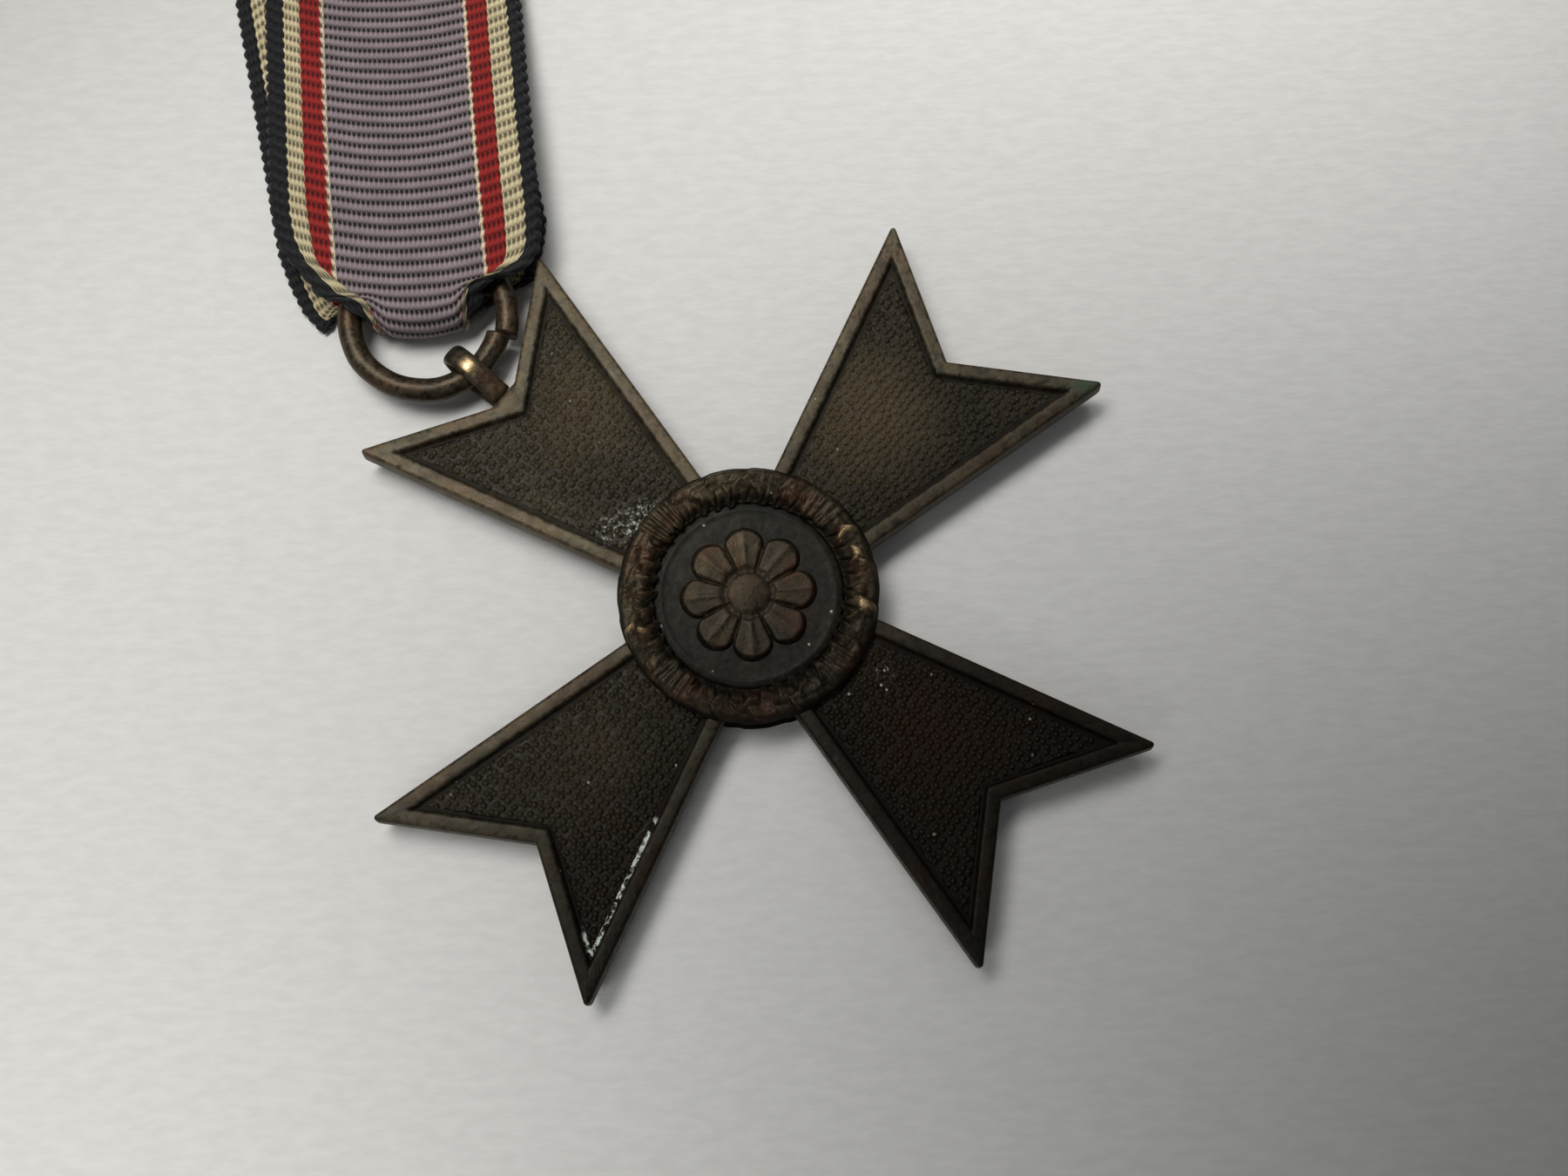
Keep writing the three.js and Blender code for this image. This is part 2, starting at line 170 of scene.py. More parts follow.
BACK_SPREAD = 0.42  # the back layer reaches this much further left than the front one
FOOT = 0.03  # spacing of the columns at the foot of a raised band


# --- Numbers ---

def ease(x, low, high):
    """x from low..high as a smooth step from 0 to 1."""
    share = np.clip((np.asarray(x, float) - low) / (high - low), 0, 1)
    return share * share * (3 - 2 * share)


def hashed(i, j, seed):
    """A number from 0 to 1 for each lattice point."""
    value = np.sin(i * 127.1 + j * 311.7 + seed * 74.7) * 43758.5453
    return value - np.floor(value)


def noise(x, y, cell, seed):
    """Smooth value noise from -1 to 1 with that cell size."""
    i, j = np.floor(x / cell), np.floor(y / cell)
    u, v = ease(x / cell - i, 0, 1), ease(y / cell - j, 0, 1)
    low = hashed(i, j, seed) * (1 - u) + hashed(i + 1, j, seed) * u
    high = hashed(i, j + 1, seed) * (1 - u) + hashed(i + 1, j + 1, seed) * u
    return 2 * (low * (1 - v) + high * v) - 1


def pebbles(x, y, pitch, seed):
    """Rounded grains from 0 in the cracks to 1 on top."""
    i, j = np.floor(x / pitch), np.floor(y / pitch)
    nearest = np.full(x.shape, 9)
    second = np.full(x.shape, 9)
    for di in (-1, 0, 1):
        for dj in (-1, 0, 1):
            px = (i + di + 0.5 + 0.75 * (hashed(i + di, j + dj, seed) - 0.5)) * pitch
            py = (j + dj + 0.5 + 0.75 * (hashed(i + di, j + dj, seed + 5) - 0.5)) * pitch
            distance = np.hypot(x - px, y - py) / pitch
            second = np.minimum(second, np.maximum(nearest, distance))
            nearest = np.minimum(nearest, distance)
    crack = ease(second - nearest, 0, 0.42)
    return crack * (1 - 0.55 * nearest ** 2)


def stacked(*parts):
    """Arrays joined along a new last axis, such as x, y and z to points."""
    return np.stack(np.broadcast_arrays(*parts), -1)


def polar(radius, angle):
    return radius * np.cos(angle), radius * np.sin(angle)


def circle(steps):
    """That many angles once round."""
    return np.linspace(0, tau, steps, endpoint=False)


def from_top(angle):
    """The turn from +Y to that angle, from -pi to pi."""
    return (angle - pi / 2 + pi) % tau - pi


def directions(path):
    """Unit vectors along a line of points."""
    tangent = np.gradient(path, axis=0)
    return tangent / np.linalg.norm(tangent, axis=1)[:, None]


# --- Meshes ---

class Shell:
    """A mesh in the making: points in millimetres, faces, and named values for each point."""

    def __init__(self):
        self.points = []
        self.faces = []
        self.values = {}
        self.count = 0

    def add(self, points, **values):
        """Adds an array of points of shape (..., 3) and returns their numbers in its shape."""
        points = np.asarray(points, float)
        flat = points.reshape(-1, 3)
        numbers = self.count + np.arange(len(flat)).reshape(points.shape[:-1])
        self.points.append(flat)
        for name in set(values) | set(self.values):
            value = np.broadcast_to(values.get(name, 0), points.shape[:-1]).reshape(-1)
            missing = np.zeros(self.count)
            self.values.setdefault(name, [missing]).append(value)
        self.count += len(flat)
        return numbers

    def grid(self, numbers):
        """Quads over a two-way array of point numbers."""
        a, b = numbers[:-1, :-1], numbers[:-1, 1:]
        c, d = numbers[1:, 1:], numbers[1:, :-1]
        self.faces.extend(stacked(a, b, c, d).reshape(-1, 4).tolist())

    def face(self, numbers):
        self.faces.append([int(n) for n in numbers])


def add_object(name, data):
    obj = bpy.data.objects.new(name, data)
    bpy.context.collection.objects.link(obj)
    return obj


def add_mesh(name, shell, material):
    mesh = bpy.data.meshes.new(name)
    mesh.from_pydata((np.concatenate(shell.points) * MM).tolist(), [], shell.faces)
    for key, value in shell.values.items():
        attribute = mesh.attributes.new(key, "FLOAT", "POINT")
        attribute.data.foreach_set("value", np.concatenate(value).astype(np.float32))
    work = bmesh.new()
    work.from_mesh(mesh)
    bmesh.ops.recalc_face_normals(work, faces=work.faces)
    work.to_mesh(mesh)
    work.free()
    mesh.shade_smooth()
    mesh.materials.append(material)
    return add_object(name, mesh)


def add_piece(name, shell, material, body, slot, *nodes):
    obj = add_mesh(name, shell, material)
    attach(obj, body)
    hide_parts(*nodes)


def closed(numbers, axis=0):
    """The same array with its first row, or column, repeated at the end."""
    return np.concatenate([numbers, numbers.take([0], axis)], axis)


def turned(points, arm):
    """Points (x, y) of the arm that points along +Y, turned to another arm."""
    angle = -arm * pi / 2
    x, y = points[..., 0], points[..., 1]
    c, s = cos(angle), sin(angle)
    return stacked(c * x - s * y, s * x + c * y)


# --- Materials ---

def srgb(red, green, blue):
    """A colour from 8-bit display values."""
    def linear(value):
        value /= 255
        return value / 12.92 if value <= 0.04045 else ((value + 0.055) / 1.055) ** 2.4
    return linear(red), linear(green), linear(blue), 1


# Colours of the bronze, of what lies on it, and of the shade and highlights painted on it
BRONZE_TINT = (1, 0.94, 0.85, 1)  # of its highlights
RUST = srgb(82, 55, 39)
WORN = srgb(104, 88, 64)
POLISHED_AND_GLINT = srgb(196, 166, 122)
# dirt in the hollows, together with painted shade there
DIRT_AND_SHADE = srgb(16, 16, 14)
SPOT = srgb(34, 38, 30)
LOWER_ARM_SHADE_BLACK = srgb(8, 8, 5)
LOWER_ARM_SHADE_RED = srgb(22, 9, 6)
CRACK_SHADE = srgb(14, 13, 12)
PEBBLE_HIGHLIGHT = srgb(120, 108, 86)
COPPER_AND_HIGHLIGHT = srgb(130, 110, 82)
DARK_COPPER = srgb(56, 30, 20)
DUST = srgb(188, 184, 170)
CHALK_WHITE = srgb(212, 216, 208)
GROOVE_WHITE = srgb(214, 220, 212)
GREEN = srgb(50, 82, 66)

# Places on the medal, each with a radius, all in millimetres
COPPER_PATCHES_AND_HIGHLIGHTS = [  # coppery patches on the fields, the bright ones partly a painted highlight; each also with its strength and colour
    (13.4, 1.6, 6, 0.5, COPPER_AND_HIGHLIGHT),
    (2.6, 15.5, 6.5, 0.3, COPPER_AND_HIGHLIGHT),
    (-13.5, 1, 5, 0.12, COPPER_AND_HIGHLIGHT),
    (0.5, -13.5, 6.5, 0.5, DARK_COPPER),
]
CHALK = [(-1.1, 8.2, 1.7), (0.2, 7.9, 1.2), (-2.4, 9.1, 1.2), (1.6, -9.2, 0.8)]
GROOVE_CHALK = [(-14.6 - 1.1 * step, -4.4 - 0.35 * step, 1.5) for step in range(7)]
VERDIGRIS = [(24, -7.9, 1.6), (23.2, -7.3, 1.2)]
PLACE_LEVEL = 2.5  # the height of those places
SHADE_REACH = 22  # the painted shade darkens towards -Y over this distance
SHADE_LEAN = 0.3  # and towards -X this much as fast
DUST_CELL = 0.8  # a cell of this size holds one speck of dust at most

# The ribbon's colours
STRIPES = [  # width of each stripe from the edge in, and its colour
    (0.94, srgb(16, 17, 20)),
    (1.28, srgb(182, 169, 134)),
    (1.36, srgb(132, 21, 18)),
    (0.23, srgb(196, 178, 150)),
    (RIBBON_WIDTH / 2, srgb(124, 111, 114)),
]
MIDDLE_START = sum(width for width, _ in STRIPES[:-1])  # of the wide middle stripe
# painted shade in the valleys between the ribs
RIB_VALLEY_SHADE = srgb(22, 19, 21)
BRIGHTEN = (3.2, 3.2, 3.1, 1)  # for the threads that show between the ribs


class Look:
    """A material and short ways to add nodes to it."""

    def __init__(self, name, **shader):
        self.material = bpy.data.materials.new(name)
        self.material.use_nodes = True
        self.tree = self.material.node_tree
        self.shader = self.tree.nodes["Principled BSDF"]
        self.use(**shader)
        self.place = self.node("TexCoord").outputs["Object"]

    def node(self, kind, inputs=(), **settings):
        node = self.tree.nodes.new("ShaderNode" + kind)
        for key, value in settings.items():
            setattr(node, key, value)
        for socket, value in dict(inputs).items():
            self.put(value, node.inputs[socket])
        return node

    def put(self, value, socket):
        if isinstance(value, bpy.types.NodeSocket):
            self.tree.links.new(value, socket)
        else:
            socket.default_value = value

    def math(self, operation, *values, clamp=False):
        inputs = dict(enumerate(values))
        return self.node("Math", inputs, operation=operation, use_clamp=clamp).outputs[0]

    def times(self, first, *more):
        """The product of all the values."""
        for value in more:
            first = self.math("MULTIPLY", first, value)
        return first

    def span(self, value, low, high, out_low=0, out_high=1):
        """value from low..high eased to out_low..out_high."""
        inputs = {0: value, 1: low, 2: high, 3: out_low, 4: out_high}
        return self.node("MapRange", inputs, interpolation_type="SMOOTHSTEP").outputs[0]

    def mix(self, share, first, second, blend="MIX"):
        inputs = {0: share, 6: first, 7: second}
        return self.node("Mix", inputs, data_type="RGBA", blend_type=blend).outputs[2]

    def lay(self, colour, over, *shares):
        """colour with another one over it, as strongly as the product of the shares."""
        return self.mix(self.times(*shares), colour, over)

    def toned(self, colour, tone):
        """colour made darker or brighter, channel by channel."""
        return self.mix(1, colour, tone, "MULTIPLY")

    def value(self, name):
        """A value stored on the mesh's points."""
        return self.node("Attribute", attribute_name=name).outputs["Fac"]

    def noise(self, pitch, detail=3, roughness=0.55, distortion=0):
        """Noise in which features are about pitch millimetres apart."""
        inputs = {"Vector": self.place, "Scale": 1 / (pitch * MM), "Detail": detail,
                  "Roughness": roughness, "Distortion": distortion}
        return self.node("TexNoise", inputs).outputs["Fac"]

    def painted_shade_towards_lower_arm(self):
        """From 0 on the upper arm to 1 on the lower one: a painted shade, darkest on the lower arm.
        """
        place = self.node("SeparateXYZ", {0: self.place})
        lean = self.math("MULTIPLY_ADD", place.outputs["X"], SHADE_LEAN, place.outputs["Y"])
        return self.math("MULTIPLY_ADD", lean, -1 / (SHADE_REACH * MM), 0.5, clamp=True)

    def near(self, x, y, radius):
        """1 at a place on the medal, given in millimetres, to 0 at that radius from it."""
        inputs = {0: self.place, 1: (x * MM, y * MM, PLACE_LEVEL * MM)}
        offset = self.node("VectorMath", inputs, operation="DISTANCE").outputs["Value"]
        return self.span(offset, radius * MM, 0)

    def bump(self, height, depth, normal=None):
        """Bumps of that depth in millimetres, on top of those in normal."""
        inputs = {"Height": height, "Distance": depth * MM}
        if normal is not None:
            inputs["Normal"] = normal
        return self.node("Bump", inputs).outputs["Normal"]

    def use(self, **sockets):
        """Sets or links the shader's sockets and returns the material."""
        for socket, value in sockets.items():
            self.put(value, self.shader.inputs[socket.replace("_", " ")])
        return self.material


def dusty(look, colour, amount):
    """A few tiny pale specks of dust over a colour; amount is the largest one's share of a cell."""
    cells = look.node("TexVoronoi", {"Vector": look.place, "Scale": 1 / (DUST_CELL * MM)})
    chance = look.node("SeparateColor", {0: cells.outputs["Color"]}).outputs[0]
    size = look.span(chance, 0.8, 1, 0, amount)
    speck = look.math("LESS_THAN", cells.outputs["Distance"], size)
    return look.lay(colour, DUST, speck, 0.6)


def bronze_look(name, low, high, metallic, roughness, dirt_and_shade, rust=0.5):
    """Patinated bronze between two colours: dark in hollows from dirt and painted shade, browner
    where hands have rubbed it, with a painted shade darkening towards the lower arm.
    """
    look = Look(name, Metallic=metallic, Specular_IOR_Level=0.25, Specular_Tint=BRONZE_TINT)
    cloud = look.span(look.noise(4.5, 4), 0.36, 0.66)
    grain = look.span(look.noise(0.35, 4), 0.3, 0.7)
    blotch = look.math("ADD", look.times(cloud, 0.6), look.times(grain, 0.4))
    colour = look.mix(blotch, low, high)
    calm = look.math("MULTIPLY_ADD", look.value("field"), -0.6, 1)
    fleck = look.span(look.noise(0.7, 6, 0.8), 0.4, 0.6, 0.62, 1.4)
    colour = look.lay(colour, look.toned(colour, fleck), calm)
    reddish = look.span(look.noise(3.1, 5, 0.65, 0.4), 0.45, 0.65)
    colour = look.lay(colour, RUST, reddish, rust, calm)
    patches = look.span(look.noise(2.2, 5, 0.65), 0.42, 0.62)
    patches = look.span(patches, 0, 1, 0.35, 1)
    colour = look.lay(colour, WORN, look.value("wear"), look.span(grain, 0.2, 0.7), patches)
    hollow = look.value("hollow")
    # Hollows are darkened: partly dirt, partly painted shade.
    colour = look.lay(colour, DIRT_AND_SHADE, hollow, dirt_and_shade)
    spots = look.span(look.noise(1.1, 5, 0.7), 0.56, 0.7)
    colour = look.lay(colour, SPOT, spots, 0.55)
    # Painted shade: the colour darkens towards the lower arm, blackish with reddish patches.
    lower_arm_shade = look.mix(reddish, LOWER_ARM_SHADE_BLACK, LOWER_ARM_SHADE_RED)
    colour = look.lay(colour, lower_arm_shade, look.painted_shade_towards_lower_arm(), 0.92)
    rough = look.math("ADD", grain, hollow)
    rough = look.span(rough, 0, 1.6, roughness - 0.08, roughness + 0.2)
    fine = look.bump(look.noise(0.12, 3), 0.012)
    coarse = look.bump(look.noise(0.7, 4, 0.7), 0.03, fine)
    return look, colour, rough, coarse


def plain_bronze(*arguments, dust=0.11, **more):
    """Bronze rubbed bright in places, partly a painted glint, with a little dust."""
    look, colour, rough, normal = bronze_look(*arguments, **more)
    rub = look.value("rub")
    colour = look.mix(rub, colour, POLISHED_AND_GLINT)
    rough = look.math("SUBTRACT", rough, look.times(rub, 0.2))
    colour = dusty(look, colour, dust)
    return look.use(Base_Color=colour, Roughness=rough, Normal=normal)


def pebble_cells(look):
    """The distance from the middle of the nearest pebble, as a share of their spacing."""
    flat = look.node("VectorMath", {0: look.place, 1: (1, 1, 0)}, operation="MULTIPLY")
    inputs = {"Vector": flat.outputs[0], "Scale": 1 / (PEBBLE_PITCH * MM), "Randomness": 0.56}
    return look.node("TexVoronoi", inputs, voronoi_dimensions="2D").outputs["Distance"]


def residue(look, colour, rough, cells):
    """Chalky crumbs, chalk left in a groove and a little verdigris, over a colour."""
    crumbs = look.span(look.noise(0.35, 5, 0.75), 0.52, 0.62)
    for x, y, radius in CHALK:
        share = look.times(look.near(x, y, radius), crumbs)
        colour = look.mix(share, colour, CHALK_WHITE)
        rough = look.math("MAXIMUM", rough, look.times(share, 0.95))
    broken = look.span(look.noise(0.55, 5, 0.7), 0.48, 0.53)
    groove = look.times(look.span(look.value("hollow"), 0.55, 0.8), broken)
    between_pebbles = look.span(cells, 0.2, 0.45, 0.15, 1)
    for x, y, radius in GROOVE_CHALK:
        place = look.span(look.near(x, y, radius), 0, 0.4)
        colour = look.lay(colour, GROOVE_WHITE, place, groove, between_pebbles)
    film = look.span(crumbs, 0, 1, 0.35, 0.9)
    for x, y, radius in VERDIGRIS:
        colour = look.lay(colour, GREEN, look.near(x, y, radius), film)
    return colour, rough


def plate_bronze():
    """The cross: coppery patches, partly painted highlights, and pebbles with painted shade in
    their cracks and painted highlights on their tops, in its fields, residue and dust.
    """
    look, colour, rough, normal = bronze_look(
        "patinated_bronze", srgb(60, 56, 46), srgb(93, 86, 69), 0.42, 0.5, 0.75, rust=0.3)
    field = look.value("field")
    # Coppery patches on the fields, the bright ones partly a painted highlight.
    for x, y, radius, strength, glow in COPPER_PATCHES_AND_HIGHLIGHTS:
        colour = look.lay(colour, glow, look.near(x, y, radius), field, strength)
    cells = pebble_cells(look)
    # Painted shade in the cracks between the pebbles and a painted highlight on their tops.
    colour = look.lay(colour, CRACK_SHADE, look.span(cells, 0.4, 0.62), field, 0.8)
    colour = look.lay(colour, PEBBLE_HIGHLIGHT, look.span(cells, 0.42, 0.08), field, 0.15)
    normal = look.bump(look.times(look.span(cells, 0.55, 0), field), 0.2, normal)
    colour, rough = residue(look, colour, rough, cells)
    colour = dusty(look, colour, 0.11)
    return look.use(Base_Color=colour, Roughness=rough, Normal=normal)


# --- Cross ---

SIDE_SLOPE = (TIP_HALF_SPACING - SIDE_OFFSET) / TIP_REACH
NOTCH_SLOPE = (TIP_REACH - NOTCH_REACH) / TIP_HALF_SPACING
SIDE_STRETCH = hypot(1, SIDE_SLOPE)
NOTCH_STRETCH = hypot(1, NOTCH_SLOPE)


def tip_point(inset):
    """Where an arm's right side meets the right half of its notch, both moved in."""
    offset = SIDE_OFFSET - inset * SIDE_STRETCH
    reach = NOTCH_REACH - inset * NOTCH_STRETCH
    x = (offset + SIDE_SLOPE * reach) / (1 - SIDE_SLOPE * NOTCH_SLOPE)
    return np.array([x, reach + NOTCH_SLOPE * x])


def straight(start, end, steps):
    share = np.linspace(0, 1, steps, endpoint=False)[:, None]
    return np.asarray(start) * (1 - share) + np.asarray(end) * share


def arc(centre, radius, first, last, steps):
    angle = np.linspace(first, last, steps)
    return np.asarray(centre) + stacked(*polar(radius, angle))


def half_outline(inset):
    """The right half of an arm: its side up to the tip's middle, then on to the notch."""
    radius = max(TIP_RADIUS - inset, LEAST_TIP_RADIUS)
    centre = tip_point(inset + radius)
    side_angle = -atan(SIDE_SLOPE)
    notch_angle = pi / 2 + atan(NOTCH_SLOPE)
    middle = (side_angle + notch_angle) / 2
    offset = SIDE_OFFSET - inset * SIDE_STRETCH
    root = (offset + SIDE_SLOPE * ARM_ROOT, ARM_ROOT)
    up = arc(centre, radius, side_angle, middle, ARC_STEPS + 1)
    over = arc(centre, radius, middle, notch_angle, ARC_STEPS + 1)[1:]
    notch = (0, NOTCH_REACH - inset * NOTCH_STRETCH)
    side = np.concatenate([straight(root, up[0], SIDE_STEPS - ARC_STEPS), up])
    rest = straight(over[-1], notch, TIP_STEPS - ARC_STEPS)[1:]
    top = np.concatenate([over, rest, [notch]])
    return side, top


def arm_outline(inset, seated):
    """An arm's outline from its left root over both tips to its right root."""
    side, top = half_outline(inset)
    if seated:
        seat = SEAT_REACH - inset * SEAT_FADE
        top = stacked(top[:, 0], np.maximum(top[:, 1], seat))
    mirror = np.array([-1, 1])
    return np.concatenate([side * mirror, top * mirror, top[-2::-1], side[::-1]])


def three_sides(chain):
    """The left side, the top and the right side of an arm's outline or of its point numbers."""
    top = chain[SIDE_STEPS:SIDE_STEPS + 2 * TIP_STEPS + 1]
    return chain[:SIDE_STEPS + 1], top, chain[::-1][:SIDE_STEPS + 1]


def field_points(outline):
    """A grid over the field: rows from the root up to the notch, columns from left to right."""
    left, top, right = three_sides(outline)
    u = np.linspace(0, 1, len(top))[:, None]
    v = np.linspace(0, 1, len(left))[:, None, None]
    level = left[:, None] * (1 - u) + right[:, None] * u
    return level + (top - level[-1]) * v


def with_height(points, height):
    return stacked(points[..., 0], points[..., 1], height)


def rim_height(points, over_middle, side):
    """Heights of a ring of points, a little uneven as on a struck and worn piece."""
    x, y = points[..., 0], points[..., 1]
    rim = ease(over_middle, 0.85, 0.97)
    uneven = 0.018 * noise(x, y, 1.3, 3) + 0.01 * noise(x, y, 0.35, 4)
    dents = -0.05 * ease(noise(x, y, 0.5, 9), 0.72, 0.95)
    return PLATE_MIDDLE + side * (over_middle + rim * (uneven + dents))


def add_rims(shell, arm):
    """An arm's edge, rims and back. Returns the chains of points of its front and back sections."""
    chains = []
    for side, section in ((1, FRONT_SECTION), (-1, BACK_SECTION)):
        for inset, over_middle in section:
            outline = turned(arm_outline(inset, arm == 0), arm)
            edge = ease(over_middle, 0.88, 0.97) * ease(inset, 0.55, 0.3)
            inner = ease(inset, 0.8, 0.92) * ease(over_middle, 0.85, 0.97)
            # The groove inside the rims is darkened, partly dirt and partly painted shade, and
            # holds chalk.
            groove = ease(inset, 0.98, 1.1) * ease(inset, 1.6, 1.25)
            height = rim_height(outline, over_middle, side)
            flat = ease(over_middle, 0.93, 0.99)
            wear = 0.6 * edge + 0.25 * inner + 0.3 * flat
            chains.append(shell.add(with_height(outline, height), wear=wear, hollow=groove))
    front, back = chains[:len(FRONT_SECTION)], chains[len(FRONT_SECTION):]
    shell.grid(np.stack(front))
    shell.grid(np.stack([front[0]] + back))
    shell.face(back[-1])
    return front, back


def add_field(shell, arm, border):
    """The pebbled field within an arm's rims. Returns the grid of its points."""
    inset = FRONT_SECTION[-1][0]
    place = turned(field_points(arm_outline(inset, arm == 0)), arm)
    x, y = place[..., 0], place[..., 1]
    grain = pebbles(x, y, PEBBLE_PITCH, 11)
    u = np.linspace(-1, 1, place.shape[1])
    v = np.linspace(0, 1, place.shape[0])[:, None]
    from_edge = np.minimum(1 - np.abs(u), 1 - v)
    calm = ease(from_edge, 0, 0.03)
    pillow = FIELD_PILLOW * ease(from_edge, 0, 0.6)
    relief = PEBBLE_HEIGHT * (grain - 0.6) + 0.02 * noise(x, y, 1.6, 2)
    points = with_height(place, FIELD_LEVEL + pillow + calm * relief)
    # The cracks between pebbles and the field's edge by the rims are darkened, partly dirt and
    # partly painted shade.
    hollow = 0.2 * (1 - ease(grain, 0.05, 0.75)) + 0.5 * ease(from_edge, 0.09, 0)
    wear = 0.25 * ease(grain, 0.75, 0.95)
    numbers = np.empty(place.shape[:2], int)
    inner = (slice(None, -1), slice(1, -1))
    numbers[inner] = shell.add(points[inner], hollow=hollow[inner], wear=wear[inner], field=1)
    numbers[:, 0], numbers[-1, :], numbers[:, -1] = three_sides(border)
    shell.grid(numbers)
    return numbers


def add_arm(shell, arm):
    front, back = add_rims(shell, arm)
    field = add_field(shell, arm, front[-1])
    root = [chain[0] for chain in front] + list(field[0, 1:-1])
    root += [chain[-1] for chain in reversed(front)]
    root += [chain[-1] for chain in back] + [chain[0] for chain in reversed(back)]
    shell.face(root)


def lathe(shell, profile, steps):
    """A closed ring of (radius, height) points turned round Z."""
    angle = circle(steps)[:, None]
    radius, height = np.asarray(profile, float).T
    x, y = polar(radius, angle)
    shell.grid(closed(closed(shell.add(stacked(x, y, height))), 1))


def make_cross(material):
    shell = Shell()
    for arm in range(ARM_COUNT):
        add_arm(shell, arm)
    low, high = PLATE_BOTTOM + HUB_SINK, PLATE_TOP - HUB_SINK
    inner, outer = DISC_RADIUS + 0.04, HUB_RADIUS - HUB_BULGE
    hub = [(inner, low), (outer, low), (HUB_RADIUS, PLATE_MIDDLE), (outer, high), (inner, high)]
    lathe(shell, hub, 144)
    add_piece("cross", shell, material, "cross", "bronze", "cross_plate")


# --- Centre ---

def sawtooth(run, pitch, shift, seed):
    """A ramp from 0 to 1 over each leaf; the leaves differ in length."""
    return (run / pitch + shift + 0.3 * noise(run, 0 * run, 2.7 * pitch, seed)) % 1


def garland_reach(run, side):
    """How far the garland reaches from its middle line: soft bumps outside, jagged teeth inside."""
    if side > 0:
        bump = sawtooth(run, LEAF_PITCH, 0.4, 35)
        return 0.95 + 0.06 * ease(bump, 0, 0.4) * ease(bump, 1, 0.85)
    tooth = sawtooth(run, LOBE_PITCH, 0, 31)
    tooth = ease(tooth, 0, 0.6) * ease(tooth, 1, 0.86)
    size = 0.6 + 0.4 * noise(run, 0 * run, 1.4, 32)
    return 0.96 + 0.5 * tooth * size


def leaf_row(run, across, row):
    """One row of overlapping leaves: each rises to its tip and then drops to the next one."""
    pitch, shift, middle, half, slant, seed = row
    ramp = sawtooth(run + slant * across, pitch, shift, seed)
    side = np.clip((across - middle) / half, -1, 1)
    tip = ease(ramp, 1, 0.93)
    narrow = 1 - 0.35 * ramp ** 3
    rise = 0.5 + 0.5 * ramp ** 1.3 * tip
    glint = ease(ramp, 0.72, 0.86) * tip * ease(np.abs(side), 0.8, 0.4)
    return rise * (1 - 0.5 * np.clip(np.abs(side) / narrow, 0, 1) ** 3), glint


def garland_surface(angle, across):
    """Height and the glint on its leaf tips, partly worn metal and partly a painted highlight, 0 to
    1, of a garland that rises from -Y up both sides to +Y; across runs from -1 at its inner edge to
    1 at its outer edge."""
    turn = from_top(angle)
    along = pi - np.abs(turn)  # 0 at -Y, pi at +Y
    run = along * WREATH_MIDDLE + 0.4 * np.sign(turn)
    quarter = pi / 2
    from_tie = np.abs((along + quarter / 2) % quarter - quarter / 2)
    inner = np.clip(-across, 0, 1)
    outer = np.clip(across, 0, 1)
    arch = (1 - inner ** 7) ** 0.6 * (1 - outer ** 5) ** 0.6
    # wear here is the glint on the leaf tips: partly worn metal, partly a painted highlight.
    height, wear = 0, 0
    for row in LEAF_ROWS:
        leaf, glint = leaf_row(run, across, row)
        wear = np.where(leaf > height, glint, wear)
        height = np.maximum(height, leaf)
    tooth = sawtooth(run + 0.25 * across, LOBE_PITCH, 0, 31)
    crease = ease(tooth, 0, 0.2) * ease(tooth, 1, 0.9)
    height = height - 0.4 * (1 - crease) * ease(inner, 0.1, 0.7)
    height = height - 0.1 * ease(inner, 0.1, 0.9)
    top_tie = ease(along, pi - 0.4, pi - 0.3)
    ribs = (0.05 + 0.09 * top_tie) * np.cos(tau * run / TIE_RIB_PITCH)
    in_tie = ease(from_tie, TIE_HALF_ANGLE, TIE_HALF_ANGLE * 0.82)
    height = height * (1 - in_tie) + (0.8 + ribs) * in_tie
    return arch * height, wear * (1 - in_tie)


def make_wreath(name, material, seat, height, node, up):
    angle = circle(WREATH_STEPS)[:, None]
    across = np.sin(np.linspace(-pi / 2, pi / 2, WREATH_STEPS_ACROSS))
    run = (pi - np.abs(from_top(angle))) * WREATH_MIDDLE
    reach = np.where(across < 0, garland_reach(run, -1), garland_reach(run, 1))
    radius = WREATH_MIDDLE + WREATH_HALF * across * reach
    x, y = polar(radius, angle)
    surface, glint = garland_surface(angle, across)
    worn = 0.1 * noise(x, y, 1.25, 6) + 0.06 * noise(x, y, 0.45, 7) + 0.03 * noise(x, y, 0.2, 8)
    surface = np.clip(surface + worn * np.sqrt(1 - np.abs(across) ** 4 + 1e-6), 0.06, 1)
    z = seat + up * height * surface
    shell = Shell()
    # Its low parts and its foot are darkened, partly dirt and partly painted shade.
    hollow = ease(surface, 0.6, 0.3)
    # Painted bright glints at fixed places on the leaf tips, partly rubbed metal; the leaf tips'
    # wear carries the glint too.
    near_glints = [np.exp(-((x - px) ** 2 + (y - py) ** 2) / 0.5) for px, py in GLINTS]
    patchy = ease(noise(x, y, 0.45, 41), -0.25, 0.5)
    rub = 0.75 * glint * patchy * np.clip(sum(near_glints), 0, 1)
    top = shell.add(stacked(x, y, z), hollow=hollow, wear=0.6 * glint, rub=rub)
    foot = shell.add(stacked(x[:, [0, -1]], y[:, [0, -1]], seat), hollow=1)
    rows = np.concatenate([foot[:, :1], top, foot[:, 1:]], 1)
    shell.grid(closed(closed(rows), 1))
    add_piece(name, shell, material, "cross", "bronze", node)


